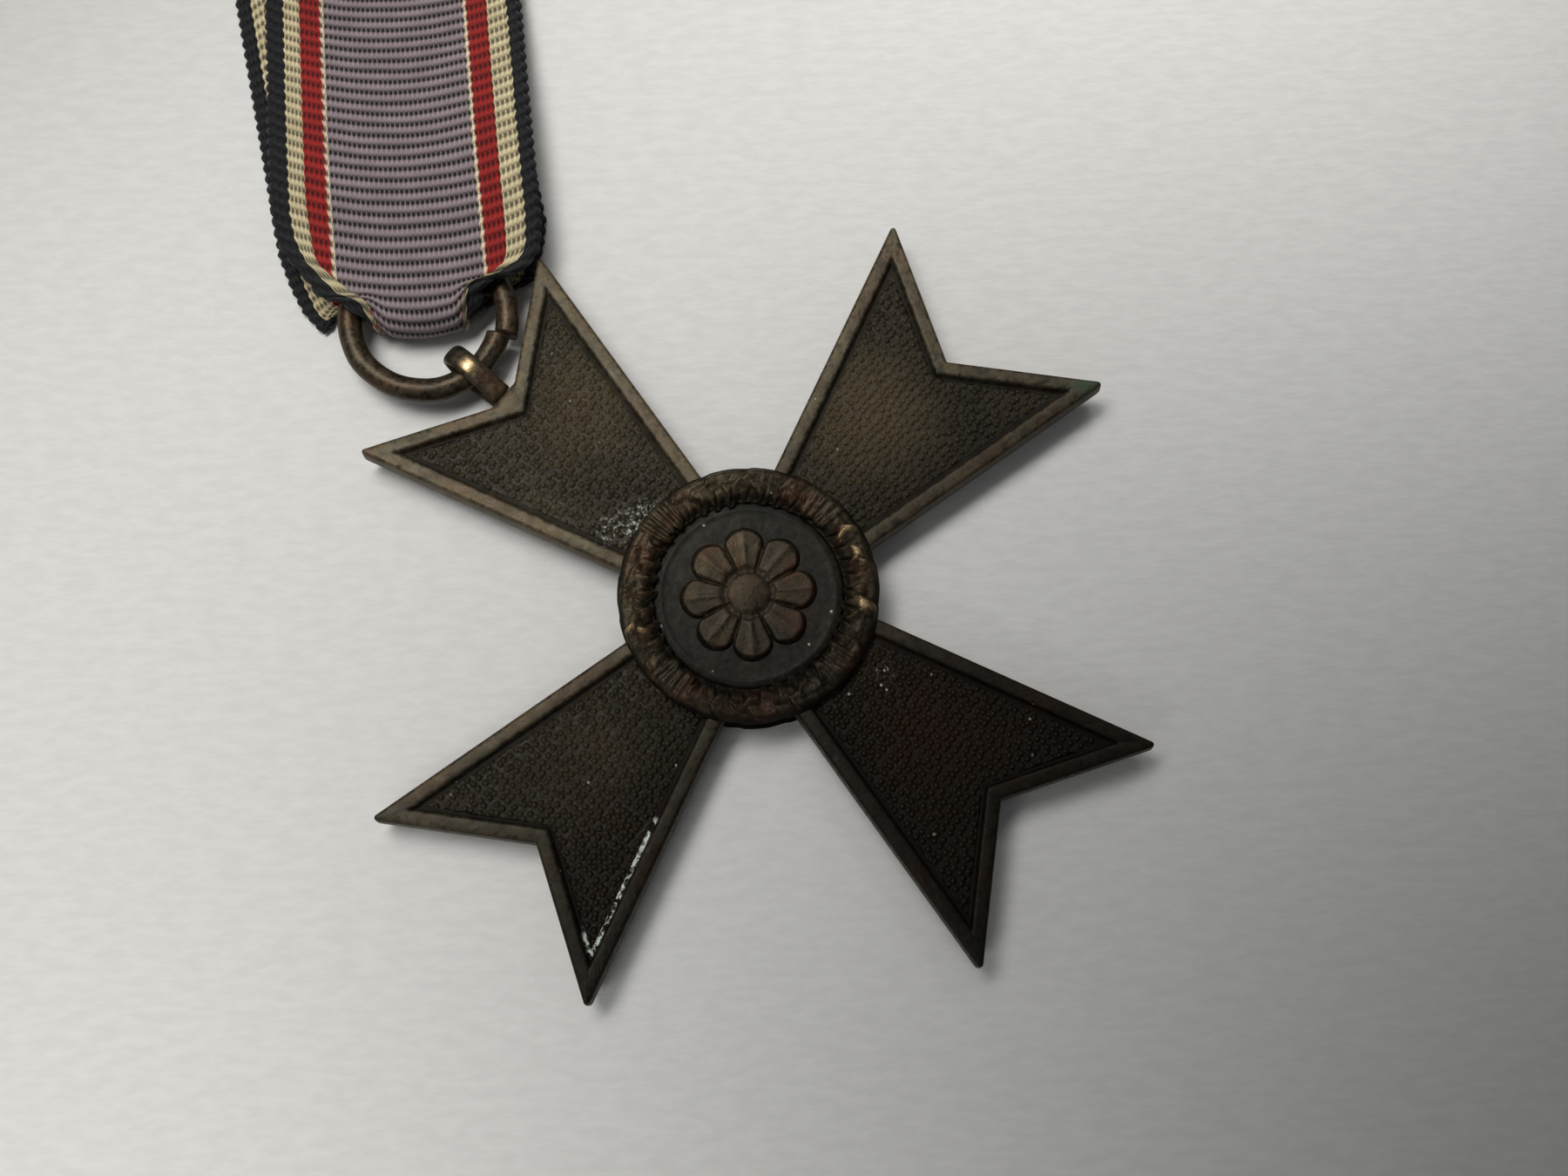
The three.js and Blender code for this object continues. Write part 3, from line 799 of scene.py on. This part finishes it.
def disc_solid(shell, profile, steps, uneven):
    """A solid of revolution closed at the axis; profile runs from the axis out and back."""
    angle = circle(steps)[:, None]
    radius, height = np.asarray(profile[1:-1], float).T
    x, y = polar(radius, angle)
    z = height + uneven * (noise(x, y, 1.1, 14) + 0.7 * noise(x, y, 0.3, 15))
    rows = closed(shell.add(stacked(x, y, z)))
    shell.grid(rows)
    for (_, level), ring in ((profile[0], rows[:-1, 0]), (profile[-1], rows[:-1, -1])):
        centre = shell.add(np.array([0, 0, level]))
        for first, second in zip(ring, np.roll(ring, -1)):
            shell.face([first, second, centre])


def make_disc(name, material, levels, node):
    """A flat disc with a fine raised line near its edge."""
    top, bottom = levels
    up = 1 if top > bottom else -1
    shown = [(radius, 0) for radius in np.linspace(0, 4.9, 36)] + DISC_EDGE
    profile = [(radius, top + up * rise) for radius, rise in shown]
    profile += [(DISC_RADIUS, bottom + up * 0.1), (DISC_RADIUS - 0.1, bottom), (0, bottom)]
    shell = Shell()
    disc_solid(shell, profile, 200, 0.02)
    add_piece(name, shell, material, "cross", "dark_bronze", node)


def make_rosette(material):
    steps, rings = 384, 34
    angle = circle(steps)[:, None]
    petal = np.abs(np.cos(ROSETTE_PETALS * angle / 2))
    reach = ROSETTE_RADIUS * (ROSETTE_WAIST + (1 - ROSETTE_WAIST) * np.sqrt(petal))
    share = np.sin(np.linspace(0.03, pi / 2, rings))
    radius = reach * share
    rise = ROSETTE_TOP - ROSETTE_SEAT
    across = 1 - petal
    bevel = ease(1 - share, 0, 0.09)
    ridge = 0.1 * np.exp(-(np.sqrt(across) / 0.22) ** 2) * ease(radius, ROSETTE_BOSS, 2)
    cut = 0.42 * np.exp(-((petal / 0.17) ** 2)) * ease(radius, 1.25, 1.8)
    boss = ease(radius, ROSETTE_BOSS, 1.12)
    dome = 1 - 0.25 * (radius / ROSETTE_BOSS) ** 2
    moat = np.exp(-((radius - ROSETTE_MOAT) / 0.12) ** 2)
    height = (0.84 - cut + ridge) * (1 - boss) + boss * dome
    height = (height - 0.45 * moat) * bevel
    x, y = polar(radius, angle)
    z = ROSETTE_SEAT + rise * np.clip(height, 0, 1) + 0.006 * noise(x, y, 0.4, 21)
    shell = Shell()
    wear = 0.5 * ease(height, 0.86, 1)
    # Its low parts and its foot are darkened, partly dirt and partly painted shade.
    rows = shell.add(stacked(x, y, z), hollow=ease(height, 0.55, 0.2), wear=wear)
    shell.grid(closed(rows))
    shell.face(rows[:, 0])
    foot = shell.add(stacked(x[:, -1], y[:, -1], ROSETTE_SEAT - 0.02), hollow=1)
    shell.grid(closed(np.stack([rows[:, -1], foot], 1)))
    shell.face(foot)
    add_piece("rosette_raised", shell, material, "cross", "bronze", "rosette")


# --- Eyelet and ring ---

def sweep(shell, centres, outward, section, **values):
    """A tube: each section point (out, side) is laid along outward and along side."""
    side = np.cross(directions(centres), outward)
    out, across = section[:, 0, None], section[:, 1, None]
    points = centres[:, None] + outward[:, None] * out + side[:, None] * across
    rows = shell.add(points, **values)
    shell.grid(closed(rows, 1))
    shell.face(rows[0])
    shell.face(rows[-1])


def make_eyelet(material):
    """A strip bent into a drop, its two ends on the plate."""
    half_length = EYELET_HALF_LENGTH - EYELET_STRAP / 2
    half_height = EYELET_HALF_HEIGHT - EYELET_STRAP / 2
    angle = np.linspace(EYELET_TURN, -EYELET_TURN, 61)
    bend = stacked(EYELET_CENTRE + half_length * np.cos(angle), half_height * np.sin(angle))
    start = straight((EYELET_ROOT, EYELET_FOOT), bend[0], 8)
    end = straight((EYELET_ROOT, -EYELET_FOOT), bend[-1], 8)[::-1]
    path = np.concatenate([start, bend, end])
    centres = stacked(0, path[:, 0], PLATE_MIDDLE + path[:, 1])
    outward = np.cross([1, 0, 0], directions(centres))
    around = circle(32)
    flat = np.abs(np.sin(around)) ** 0.8 * np.sign(np.sin(around))
    section = stacked(EYELET_STRAP / 2 * np.cos(around), EYELET_WIDTH / 2 * flat)
    centres[:, 0] += EYELET_BOW * np.sin(np.linspace(0, 3, len(path)))
    # A painted glint on the strap's upper outer side, partly rubbed metal; it also raises the wear.
    rub = np.exp(-((centres[:, 1] - EYELET_GLINT) / 0.4) ** 2) * ease(centres[:, 2], 2.7, 3)
    shown = ease(np.cos(around), 0.75, 1) * ease(np.sin(around), 0.5, 0.2)
    rub = 0.8 * rub[:, None] * shown
    shell = Shell()
    sweep(shell, centres, outward, section, wear=0.15 + rub, rub=rub)
    add_piece("eyelet_strip", shell, material, "cross", "ring_bronze", "eyelet")


def make_ring(material):
    """A round wire bent into a ring, its two ends meeting a little out of line."""
    share = np.linspace(0, 1, 241)
    angle = SPLIT_ANGLE + SPLIT_GAP / 2 + share * (tau - SPLIT_GAP)
    from_middle = 1 - 2 * share
    radius = RING_RADIUS + SPLIT_STEP * from_middle * np.abs(from_middle) ** 5
    radius += 0.02 * np.sin(5 * angle) + 0.012 * np.sin(11 * angle + 1)
    outward = stacked(*polar(1, angle), 0)
    centre = np.array([RING_CENTRE[0], RING_CENTRE[1], PLATE_MIDDLE])
    centres = centre + radius[:, None] * outward
    turn = circle(20)
    section = stacked(*polar(WIRE_RADIUS, turn))
    # The wire's inner side is darkened, partly dirt and partly painted shade.
    inner = ease(np.cos(turn), -0.3, -0.9)
    shell = Shell()
    sweep(shell, centres, outward, section, wear=0.3, hollow=0.25 * inner)
    add_piece("split_ring", shell, material, "ring", "ring_bronze", "suspension_ring")


# --- Ribbon ---

# (s, lat) of the layers' edges, and of the inner edges of the front one's black stripes and bands
FRONT_LEFT = [(-1.7, -3.6), (-1.2, -4), (-0.6, -4.45), (0.4, -5.5), (1.7, -6.4), (3.3, -7.3),
              (4.6, -8.2), (6, -8.75), (8, -8.95)]
FRONT_RIGHT = [(-1.7, 3.3), (-1.1, 3.6), (-0.6, 3.85), (0.78, 5.6), (1.8, 6.7), (2.5, 7.25),
               (3.3, 7.6), (5, 7.8), (60, 7.82)]
BLACK_LEFT = [(-1.7, -2.95), (-1, -3.35), (-0.2, -3.8), (1.2, -4.86), (2.64, -5.94), (4, -6.91),
              (5.6, -7.5), (7.5, -7.75), (60, -7.8)]
BLACK_RIGHT = [(-1.7, 2.3), (-0.1, 2.95), (0.64, 3.86), (1.74, 5.14), (2.35, 6.2), (3.3, 6.7),
               (5.6, 6.88), (60, 6.9)]
BAND_LEFT = [(-1.7, -2.85), (-1, -3.15), (-0.25, -3.4), (1, -4), (1.9, -4.6), (2.8, -5.4),
             (3.6, -6.15), (4.7, -6.45), (8, -6.75)]
BAND_RIGHT = [(-1.7, 2.1), (-0.1, 2.7), (0.7, 3.55), (1.4, 4.35), (2.2, 5.25), (3, 5.5),
              (4.5, 5.6), (60, 5.62)]
BACK_LEFT = [(-0.9, -5.3), (-0.2, -6.3), (0.3, -6.9), (1.9, -8.05), (3.7, -8.75), (6.1, -9.4)]
BACK_RIGHT = [(-0.9, 3.8), (0.6, 5.4), (1.6, 6.5), (2.6, 6.9), (4.5, 7.5), (6.1, 7.8)]


def along_table(table, s):
    return np.interp(s, *np.array(table).T)


def to_medal(s, lat, z):
    """Ribbon coordinates to the medal's own."""
    c, sn = cos(RIBBON_ANGLE), sin(RIBBON_ANGLE)
    return stacked(RING_CENTRE[0] + s * c + lat * sn, RING_CENTRE[1] + s * sn - lat * c, z)


def front_path():
    """The front layer's run: (s, z of its outer face, outward normal) every fraction of a rib."""
    knots = [(RIBBON_END, FRONT_LEVEL)]
    for share in np.linspace(1, 0, 40):
        s = DROP_START + share * (DROP_END - DROP_START)
        knots.append((s, LOOP_TOP + (FRONT_LEVEL - LOOP_TOP) * ease(share, 0, 1)))
    knots.extend(arc((TURN_CENTRE, LOOP_RADIUS), LOOP_RADIUS, pi / 2, 3 * pi / 2, 48))
    knots.append((TURN_CENTRE + 0.5, 0))
    return evenly_spaced(np.array(knots), RIB_PITCH / ROWS_PER_RIB)


def evenly_spaced(knots, pitch):
    """Points along a polyline, with the distance run so far and the normal on its left."""
    lengths = np.hypot(*np.diff(knots, axis=0).T)
    run = np.concatenate([[0], np.cumsum(lengths)])
    distance = np.linspace(0, run[-1], int(run[-1] / pitch) + 1)
    s, z = np.interp(distance, run, knots[:, 0]), np.interp(distance, run, knots[:, 1])
    tangent = directions(stacked(s, z))
    normal = stacked(tangent[:, 1], -tangent[:, 0])
    return s, z, normal, distance


def rib_phase(distance, lat):
    """Which rib a point is on: the ribs sag in the middle of the ribbon."""
    wander = 0.14 * noise(distance, lat, 4.5, 51) + 0.06 * noise(distance, lat, 1.6, 52)
    return (distance + 0.03 * (lat - 1) ** 2 + 0.5 * wander) / RIB_PITCH


def make_strip(name, material, rows, cloth, lift, bow):
    """A closed strip of ribbed cloth. rows holds s, z, normal and distance; cloth and lat give,
    for each row and column, the place across the cut ribbon and across the laid one."""
    (s, z, normal, distance), (across, lat) = rows, cloth
    phase = rib_phase(distance[:, None], lat)
    rib = np.abs(np.sin(pi * phase)) ** 0.7
    first, last = lat[:, :1], lat[:, -1:]
    from_edge = np.minimum(lat - first, last - lat)
    edge = ease(from_edge, 0.7, 0)
    outward = np.where(lat < (first + last) / 2, -1, 1)
    lat = lat + outward * edge * SCALLOP * (rib - 0.6)
    cord = np.sqrt(np.clip(1 - (1 - from_edge / 0.45) ** 2, 0, 1)) * ease(from_edge, 1, 0.6)
    thick = CLOTH * (1 - 0.5 * ease(from_edge, 0.25, 0))
    shell = Shell()
    layers = []
    for face in (1, -1):
        relief = RIB_HEIGHT * (rib - 1)
        rounding = 0.14 * ease(from_edge, 0.3, 0) - 0.08 * cord
        depth = (lift + relief - rounding) if face > 0 else (lift - thick - relief)
        ss = s[:, None] + bow + normal[:, :1] * depth
        zz = z[:, None] + normal[:, 1:] * depth
        layers.append(shell.add(to_medal(ss, lat, zz), across=across, rib=phase))
    outer, inner = layers
    shell.grid(outer)
    shell.grid(inner)
    for side in (0, -1):
        shell.grid(np.stack([outer[:, side], inner[:, side]], 1))
    for end in (0, -1):
        shell.grid(np.stack([outer[end], inner[end]], 1))
    return add_mesh(name, shell, material)


def between(first, last, steps):
    """Columns from first to last at each row."""
    share = np.linspace(0, 1, steps)
    return first[:, None] * (1 - share) + last[:, None] * share


def banded_columns(lines):
    """Places across the cut and the laid ribbon, and their lift. lines are, at each row, the laid
    places of the edge, the black stripe's end and the band's end at the left, then at the right."""
    left, black_left, band_left, band_right, black_right, right = lines
    same = np.ones_like(left)
    black, far = STRIPES[0][0], RIBBON_WIDTH
    low = np.maximum(band_left - RIBBON_SHIFT + far / 2, BAND + FOOT)
    high = np.minimum(band_right - RIBBON_SHIFT + far / 2, far - BAND - FOOT)
    parts = [  # laid from and to, cut from and to, columns, and 1 where raised
        (left, black_left, 0, black, 10, 1),
        (black_left, band_left, black, BAND - FOOT, 9, 1),
        (band_left + FOOT / 2, band_left, BAND, BAND, 1, 0),
        (band_left + FOOT, band_right - FOOT, low, high, 48, 0),
        (band_right - FOOT / 2, band_right, far - BAND, far - BAND, 1, 0),
        (band_right, black_right, far - BAND + FOOT, far - black, 9, 1),
        (black_right + FOOT, right, far - black + FOOT, far, 10, 1),
    ]
    lat = np.concatenate([between(a, b, n) for a, b, _, _, n, _ in parts], 1)
    cut = np.concatenate([between(same * a, same * b, n) for _, _, a, b, n, _ in parts], 1)
    raised = np.concatenate([np.full(n, raised) for _, _, _, _, n, raised in parts])
    rise_left = ease(low - BAND, 0, 0.7)[:, None] * (cut < far / 2)
    rise_right = ease(far - BAND - high, 0, 0.7)[:, None] * (cut > far / 2)
    slope = 0.75 + 0.25 * ease(np.minimum(cut, far - cut), 0, BAND)
    lift = BAND_LIFT * raised * slope * (rise_left + rise_right)
    return cut, lat, lift


def turn_bow(lat):
    """How far back the fold lies at each place across the ribbon."""
    reach = np.minimum(np.abs(lat), TURN_REACH)
    ends = RIGHT_BOW * ease(lat, 1.8, 3.1) + LEFT_BOW * ease(-lat, 2.2, 3.4)
    return TURN_BOW * reach ** 2 + ends


def make_front_ribbon(material):
    rows = front_path()
    s, z = rows[:2]
    near = s < DROP_START
    in_turn = ease(z, LOOP_TOP - 0.1, LOOP_RADIUS) * near
    tables = (FRONT_LEFT, BLACK_LEFT, BAND_LEFT, BAND_RIGHT, BLACK_RIGHT, FRONT_RIGHT)
    lines = [along_table(table, s) for table in tables]
    lines = [line + (np.clip(line, -TURN_REACH, TURN_REACH) - line) * in_turn for line in lines]
    cut, lat, lift = banded_columns(lines)
    lift = lift * (1 - ease(z, 1.2, 0.3) * near)[:, None]
    bow = turn_bow(lat) * ease(s, 1.9, -0.8)[:, None]
    return make_strip("ribbon_front", material, rows, (cut, lat), lift, bow)


def make_back_ribbon(material):
    knots = np.array([(BACK_START, BACK_LEVEL), (RIBBON_END, BACK_LEVEL)])
    s, z, normal, distance = evenly_spaced(knots, RIB_PITCH / ROWS_PER_RIB)
    skew = -BACK_SKEW * np.maximum(s - SKEW_START, 0)
    half = RIBBON_WIDTH / 2
    near = s < SKEW_START
    left = np.where(near, along_table(BACK_LEFT, s), RIBBON_SHIFT - half + skew - BACK_SPREAD)
    right = np.where(near, along_table(BACK_RIGHT, s), RIBBON_SHIFT + half + skew)
    share = np.linspace(0, 1, 64)
    lat = left[:, None] + (right - left)[:, None] * share
    cut = RIBBON_WIDTH * share + 0 * lat
    rows = (s, z, -normal, distance)
    tuck = BACK_TUCK * ease(lat, -7, -5.9) * ease(s, 3, BACK_START)[:, None]
    return make_strip("ribbon_back", material, rows, (cut, lat), 0 * lat, tuck)


def declare_ribbon(front, back):
    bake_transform(front)
    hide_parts("ribbon_loop", "ribbon_front_tail")
    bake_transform(back)
    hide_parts("ribbon_back_tail")


def striped(look, from_edge):
    """The colour of the stripe that lies at a distance from the ribbon's edge."""
    colour = STRIPES[0][1]
    reach = 0
    for (width, _), (_, next_colour) in zip(STRIPES, STRIPES[1:]):
        reach += width
        colour = look.mix(look.span(from_edge, reach - 0.04, reach + 0.04), colour, next_colour)
    return colour


def silk():
    """Ribbed silk: stripes by the place across the cut ribbon, warp threads over the ribs, painted
    light on the ribs' crests and painted shade in the valleys between them.
    """
    look = Look("ribbed_silk", Sheen_Weight=0.12, Sheen_Roughness=0.5, Specular_IOR_Level=0.3)
    across, rib = look.value("across"), look.value("rib")
    wobble = look.times(look.math("SUBTRACT", look.noise(0.5, 2), 0.5), 0.12)
    half = RIBBON_WIDTH / 2
    from_middle = look.math("ABSOLUTE", look.math("SUBTRACT", across, half))
    from_edge = look.math("ADD", look.math("SUBTRACT", half, from_middle), wobble)
    sway = look.math("SINE", look.times(rib, tau))
    from_edge = look.math("MULTIPLY_ADD", sway, 0.045, from_edge)
    colour = striped(look, from_edge)
    thread = look.math("SINE", look.times(across, tau / THREAD_PITCH))
    thread = look.math("MULTIPLY_ADD", thread, 0.5, 0.5)
    rib = look.math("MULTIPLY_ADD", thread, 0.15, rib)
    crest = look.math("ABSOLUTE", look.math("SINE", look.times(rib, pi)))
    # Painted shading: the ribs' crests lighter and their sides darker, times the threads' and a
    # random tone.
    tone = look.times(look.span(crest, 0.4, 1, 0.5, 1.42),
                      look.span(thread, 0, 1, 0.8, 1.1),
                      look.span(look.noise(1.6, 4), 0.25, 0.75, 0.88, 1.12))
    colour = look.toned(colour, tone)
    # Painted shade in the valleys between the ribs, less deep in the outer stripes.
    valley = look.span(crest, 0.62, 0.3)
    dark = look.times(valley, look.span(thread, 0.95, 0.5, 0.5, 1))
    depth = look.span(from_edge, MIDDLE_START - 0.1, MIDDLE_START + 0.1, 0.27, 0.9)
    colour = look.lay(colour, RIB_VALLEY_SHADE, dark, depth)
    tick = look.times(valley, look.span(thread, 0.6, 0.9))
    colour = look.lay(colour, look.toned(colour, BRIGHTEN), tick, 0.75)
    threads = look.bump(thread, 0.03)
    ribs = look.bump(crest, 0.06, threads)
    fuzz = look.bump(look.noise(0.09, 3), 0.02, ribs)
    return look.use(Base_Color=colour, Roughness=look.span(crest, 0, 1, 0.9, 0.68), Normal=fuzz)


# --- Studio ---

VIEW_TARGET = Vector((2.08, -0.987, 0)) * MM
VIEW_AZIMUTH = radians(-48.2)  # how far round from -Y towards +X the camera stands
VIEW_ELEVATION = radians(77)
VIEW_ROLL = radians(-2.2)
VIEW_DISTANCE = 94.7 * MM
VIEW_LENS = 35.58
LAMPS = [  # name, place and aim in metres, size, power in watts, spread in degrees
    ("key", (0.01, 0.08, 0.16), (0.008, 0.037, 0), (0.42, 0.06), 0.098, 54),
    ("right_fill", (0.12, 0.02, 0.12), (0.062, -0.008, 0), (0.08, 0.05), 0.006, 40),
    ("left_fill", (-0.13, -0.03, 0.08), (-0.06, -0.026, 0), (0.08, 0.05), 0.0075, 34),
]
LAMP_COLOUR = (1, 0.992, 0.97)
SKY_COLOUR = (0.8, 0.82, 0.84, 1)
SKY_STRENGTH = 0.13
PAPER_HALF = 0.9  # half the floor's width, in metres
PAPER_DROP = 0.00003  # the floor lies this far under the medal, in metres
PAPER_ANGLE = radians(-48.2)  # from +X to the way that the paper's fibres run


def add_camera():
    data = bpy.data.cameras.new("camera")
    data.lens = VIEW_LENS
    data.clip_start = 0.005
    data.clip_end = 10
    camera = add_object("camera", data)
    a, e, r = VIEW_AZIMUTH, VIEW_ELEVATION, VIEW_ROLL
    back = Vector((sin(a) * cos(e), -cos(a) * cos(e), sin(e)))
    level = Vector((cos(a), sin(a), 0))
    upright = back.cross(level)
    right = cos(r) * level + sin(r) * upright
    up = -sin(r) * level + cos(r) * upright
    turn = Matrix((right, up, back)).transposed().to_4x4()
    camera.matrix_world = Matrix.Translation(VIEW_TARGET + back * VIEW_DISTANCE) @ turn
    bpy.context.scene.camera = camera


def add_lamp(name, place, aim, size, power, spread):
    data = bpy.data.lights.new(name, "AREA")
    data.shape = "RECTANGLE"
    data.size, data.size_y = size
    data.energy = power
    data.spread = radians(spread)
    data.color = LAMP_COLOUR
    light = add_object(name, data)
    place, aim = Vector(place), Vector(aim)
    turn = (aim - place).to_track_quat("-Z", "Y").to_matrix().to_4x4()
    light.matrix_world = Matrix.Translation(place) @ turn
    light.visible_camera = False


def add_studio():
    """A long soft light beyond the top arm and two weak fills leave the lower arm's side dim."""
    for lamp in LAMPS:
        add_lamp(*lamp)
    world = bpy.data.worlds.new("studio")
    world.use_nodes = True
    background = world.node_tree.nodes["Background"]
    background.inputs["Color"].default_value = SKY_COLOUR
    background.inputs["Strength"].default_value = SKY_STRENGTH
    bpy.context.scene.world = world


def add_floor():
    """Plain pale paper with faint fibres."""
    look = Look("paper", Roughness=0.85, Specular_IOR_Level=0.2)
    inputs = {"Vector": look.place, "Rotation": (0, 0, PAPER_ANGLE), "Scale": (2.8, 1, 1)}
    look.place = look.node("Mapping", inputs, vector_type="TEXTURE").outputs[0]
    fibres = look.noise(0.6, 4, 0.6)
    colour = look.mix(look.span(fibres, 0.3, 0.7), srgb(225, 224, 221), srgb(232, 231, 228))
    material = look.use(Base_Color=colour, Normal=look.bump(fibres, 0.055))
    mesh = bpy.data.meshes.new("floor")
    corners = [(-1, -1), (1, -1), (1, 1), (-1, 1)]
    points = [(x * PAPER_HALF, y * PAPER_HALF, -PAPER_DROP) for x, y in corners]
    mesh.from_pydata(points, [], [(0, 1, 2, 3)])
    mesh.materials.append(material)
    floor = add_object("floor", mesh)


def main():
    add_camera()
    plate = plate_bronze()
    raised = plain_bronze("rubbed_and_glinting_bronze", srgb(50, 43, 32), srgb(80, 69, 50), 0.45, 0.46, 0.8,
                          rust=0.7)
    dark = plain_bronze("dark_bronze", srgb(24, 25, 21), srgb(42, 42, 36), 0.3, 0.55, 0.6,
                        rust=0, dust=0.17)
    wire = plain_bronze("wire_bronze", srgb(44, 39, 31), srgb(68, 61, 49), 0.5, 0.4, 0.6,
                        dust=0.02)
    make_cross(plate)
    make_wreath("wreath_front", raised, WREATH_SEAT, WREATH_HEIGHT, "obverse_wreath", 1)
    make_wreath("wreath_back", raised, BACK_WREATH_SEAT, BACK_WREATH_HEIGHT, "reverse_wreath", -1)
    make_disc("disc_front", dark, DISC_FRONT, "obverse_disc")
    make_disc("disc_back", dark, DISC_BACK, "reverse_disc")
    make_rosette(raised)
    make_eyelet(wire)
    make_ring(wire)
    cloth = silk()
    declare_ribbon(make_front_ribbon(cloth), make_back_ribbon(cloth))
    add_floor()
    add_studio()
    bpy.context.scene.view_settings.view_transform = "Standard"


main()
